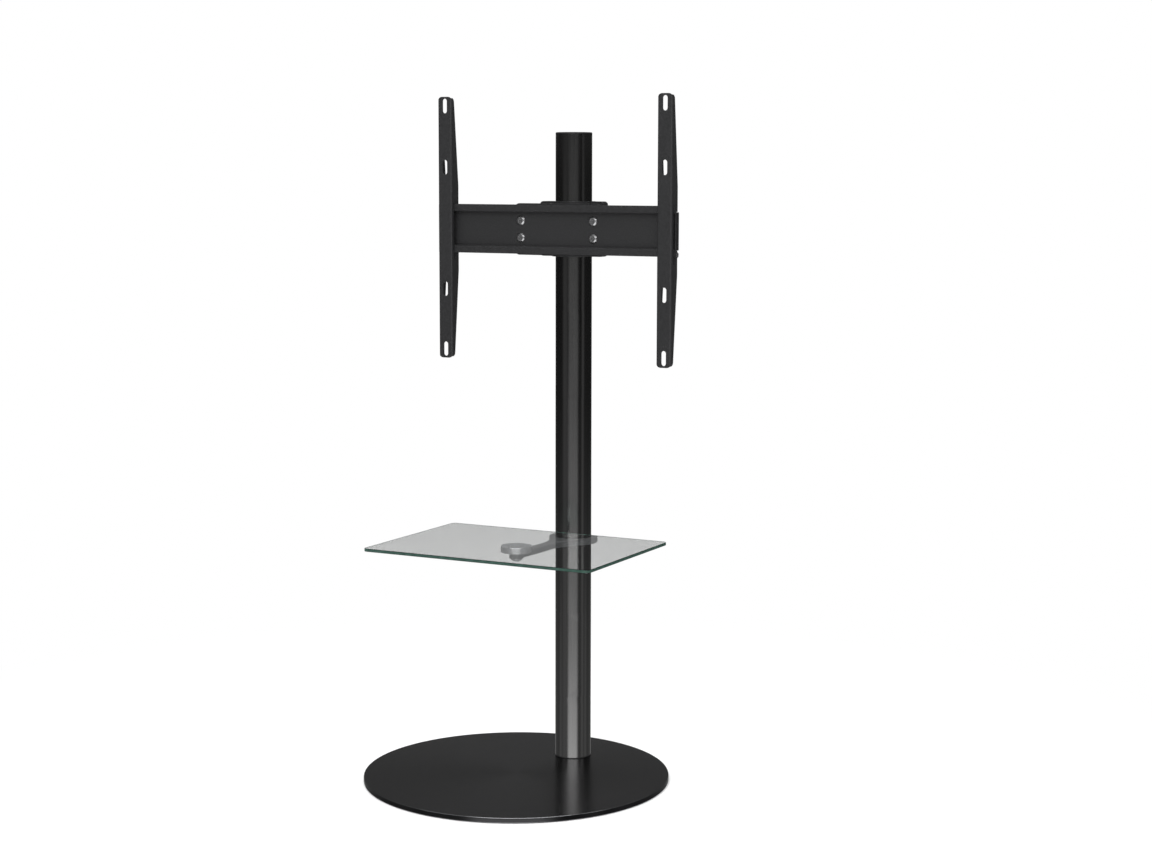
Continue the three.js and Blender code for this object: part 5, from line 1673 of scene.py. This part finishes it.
def surround():
    """The world: plain white to the camera and through glass, even light for matt surfaces, and in reflections a
    studio with softboxes.

    The studio is the sum of patches above the horizon and below it, where the floor gives the softboxes' light back.
    A patch is the product of its band of azimuth, its ramps of elevation and its light.
    """
    world = bpy.data.worlds.new("Studio")
    bpy.context.scene.world = world
    world.use_nodes = True
    world.node_tree.nodes.clear()
    g = Graph(world.node_tree)
    heading = stage().camera_turn[2]
    direction = g.put("TexCoord").outputs["Generated"]
    ahead = g.vector("DOT_PRODUCT", direction, (math.sin(heading), -math.cos(heading), 0.0))
    beside = g.vector("DOT_PRODUCT", direction, (math.cos(heading), math.sin(heading), 0.0))
    azimuth, elevation = (g.times(turn, math.degrees(1)) for turn in (
        g.math("ARCTAN2", beside, ahead), g.math("ARCSINE", g.split(direction)["Z"])))
    bands = {band: g.band(azimuth, *band) for band in ONE_SIDED}
    bands.update((band, g.band(g.math("ABSOLUTE", azimuth), *band)) for band in TWO_SIDED)
    path = g.put("LightPath").outputs

    def lit(patches, light):
        return [g.times(bands[band], *(g.ramp(elevation, *ramp) for ramp in ramps), light * share)
                for band, ramps, share in patches]

    walls, box = stage().walls, stage().front_box
    floor_part = g.times(g.ramp(elevation, *BELOW), g.plus(
        *lit(FLOOR_PATCHES, box * stage().floor_bounce),
        g.times(g.ramp(elevation, *FLOOR_NEAR), walls * WALL_FLOOR[1]),
        walls * WALL_FLOOR[0],
    ))
    direct = g.rest(path["Ray Depth"], DIRECT_DEPTH)
    dimmed = g.rest(g.times(direct, g.ramp(elevation, *DIRECT_RAMP), DIRECT_LOSS))
    upper_part = g.times(g.ramp(elevation, *ABOVE), g.plus(
        g.times(*lit(FRONT_BOX, box), dimmed), *lit(BOXES, box), *lit(WALL_PATCHES, walls),
        g.times(g.ramp(elevation, *OVERHEAD), stage().overhead), walls,
    ))
    through = g.times(path["Is Transmission Ray"], g.rest(path["Glossy Depth"]))
    seen = g.either(path["Is Camera Ray"], through)
    reflected = g.either(path["Is Glossy Ray"], path["Is Transmission Ray"])
    level = g.put("Mix", {0: reflected, 2: stage().fill, 3: g.plus(floor_part, upper_part)}).outputs[0]
    strength = g.put("Mix", {0: seen, 2: level, 3: 1.0}).outputs[0]
    light = g.put("Background", {"Color": WHITE, "Strength": strength})
    g.put("OutputWorld", {0: light.outputs[0]})


class STAND_PT_panel(bpy.types.Panel):
    """Lists the stand's pieces and its sizes"""

    bl_idname = "STAND_PT_panel"
    bl_label = "Column Stand"
    bl_space_type = "VIEW_3D"
    bl_region_type = "UI"
    bl_category = "Stand"

    def draw(self, context):
        column = self.layout.column()
        for operator in OPERATORS:
            column.operator(operator.bl_idname)
        for group in (sizes(), colours(), stage()):
            for name in group.__annotations__:
                column.prop(group, name)


GROUPS = {"stand_sizes": StandSizes, "stand_colours": StandColours, "stand_stage": StandStage}
OPERATORS = (
    STAND_OT_stage, STAND_OT_base, STAND_OT_swivel, STAND_OT_column, STAND_OT_shelf, STAND_OT_clamp,
    STAND_OT_tilt, STAND_OT_rails,
)


def register():
    for group in (*GROUPS.values(), *OPERATORS, STAND_PT_panel):
        bpy.utils.register_class(group)
    for name, group in GROUPS.items():
        setattr(bpy.types.Scene, name, bpy.props.PointerProperty(type=group))


def unregister():
    for name in GROUPS:
        delattr(bpy.types.Scene, name)
    for group in (STAND_PT_panel, *reversed(OPERATORS), *reversed(GROUPS.values())):
        bpy.utils.unregister_class(group)


def main():
    register()
    for operator in OPERATORS:
        group, name = operator.bl_idname.split(".")
        getattr(getattr(bpy.ops, group), name)()


if __name__ == "__main__":
    main()
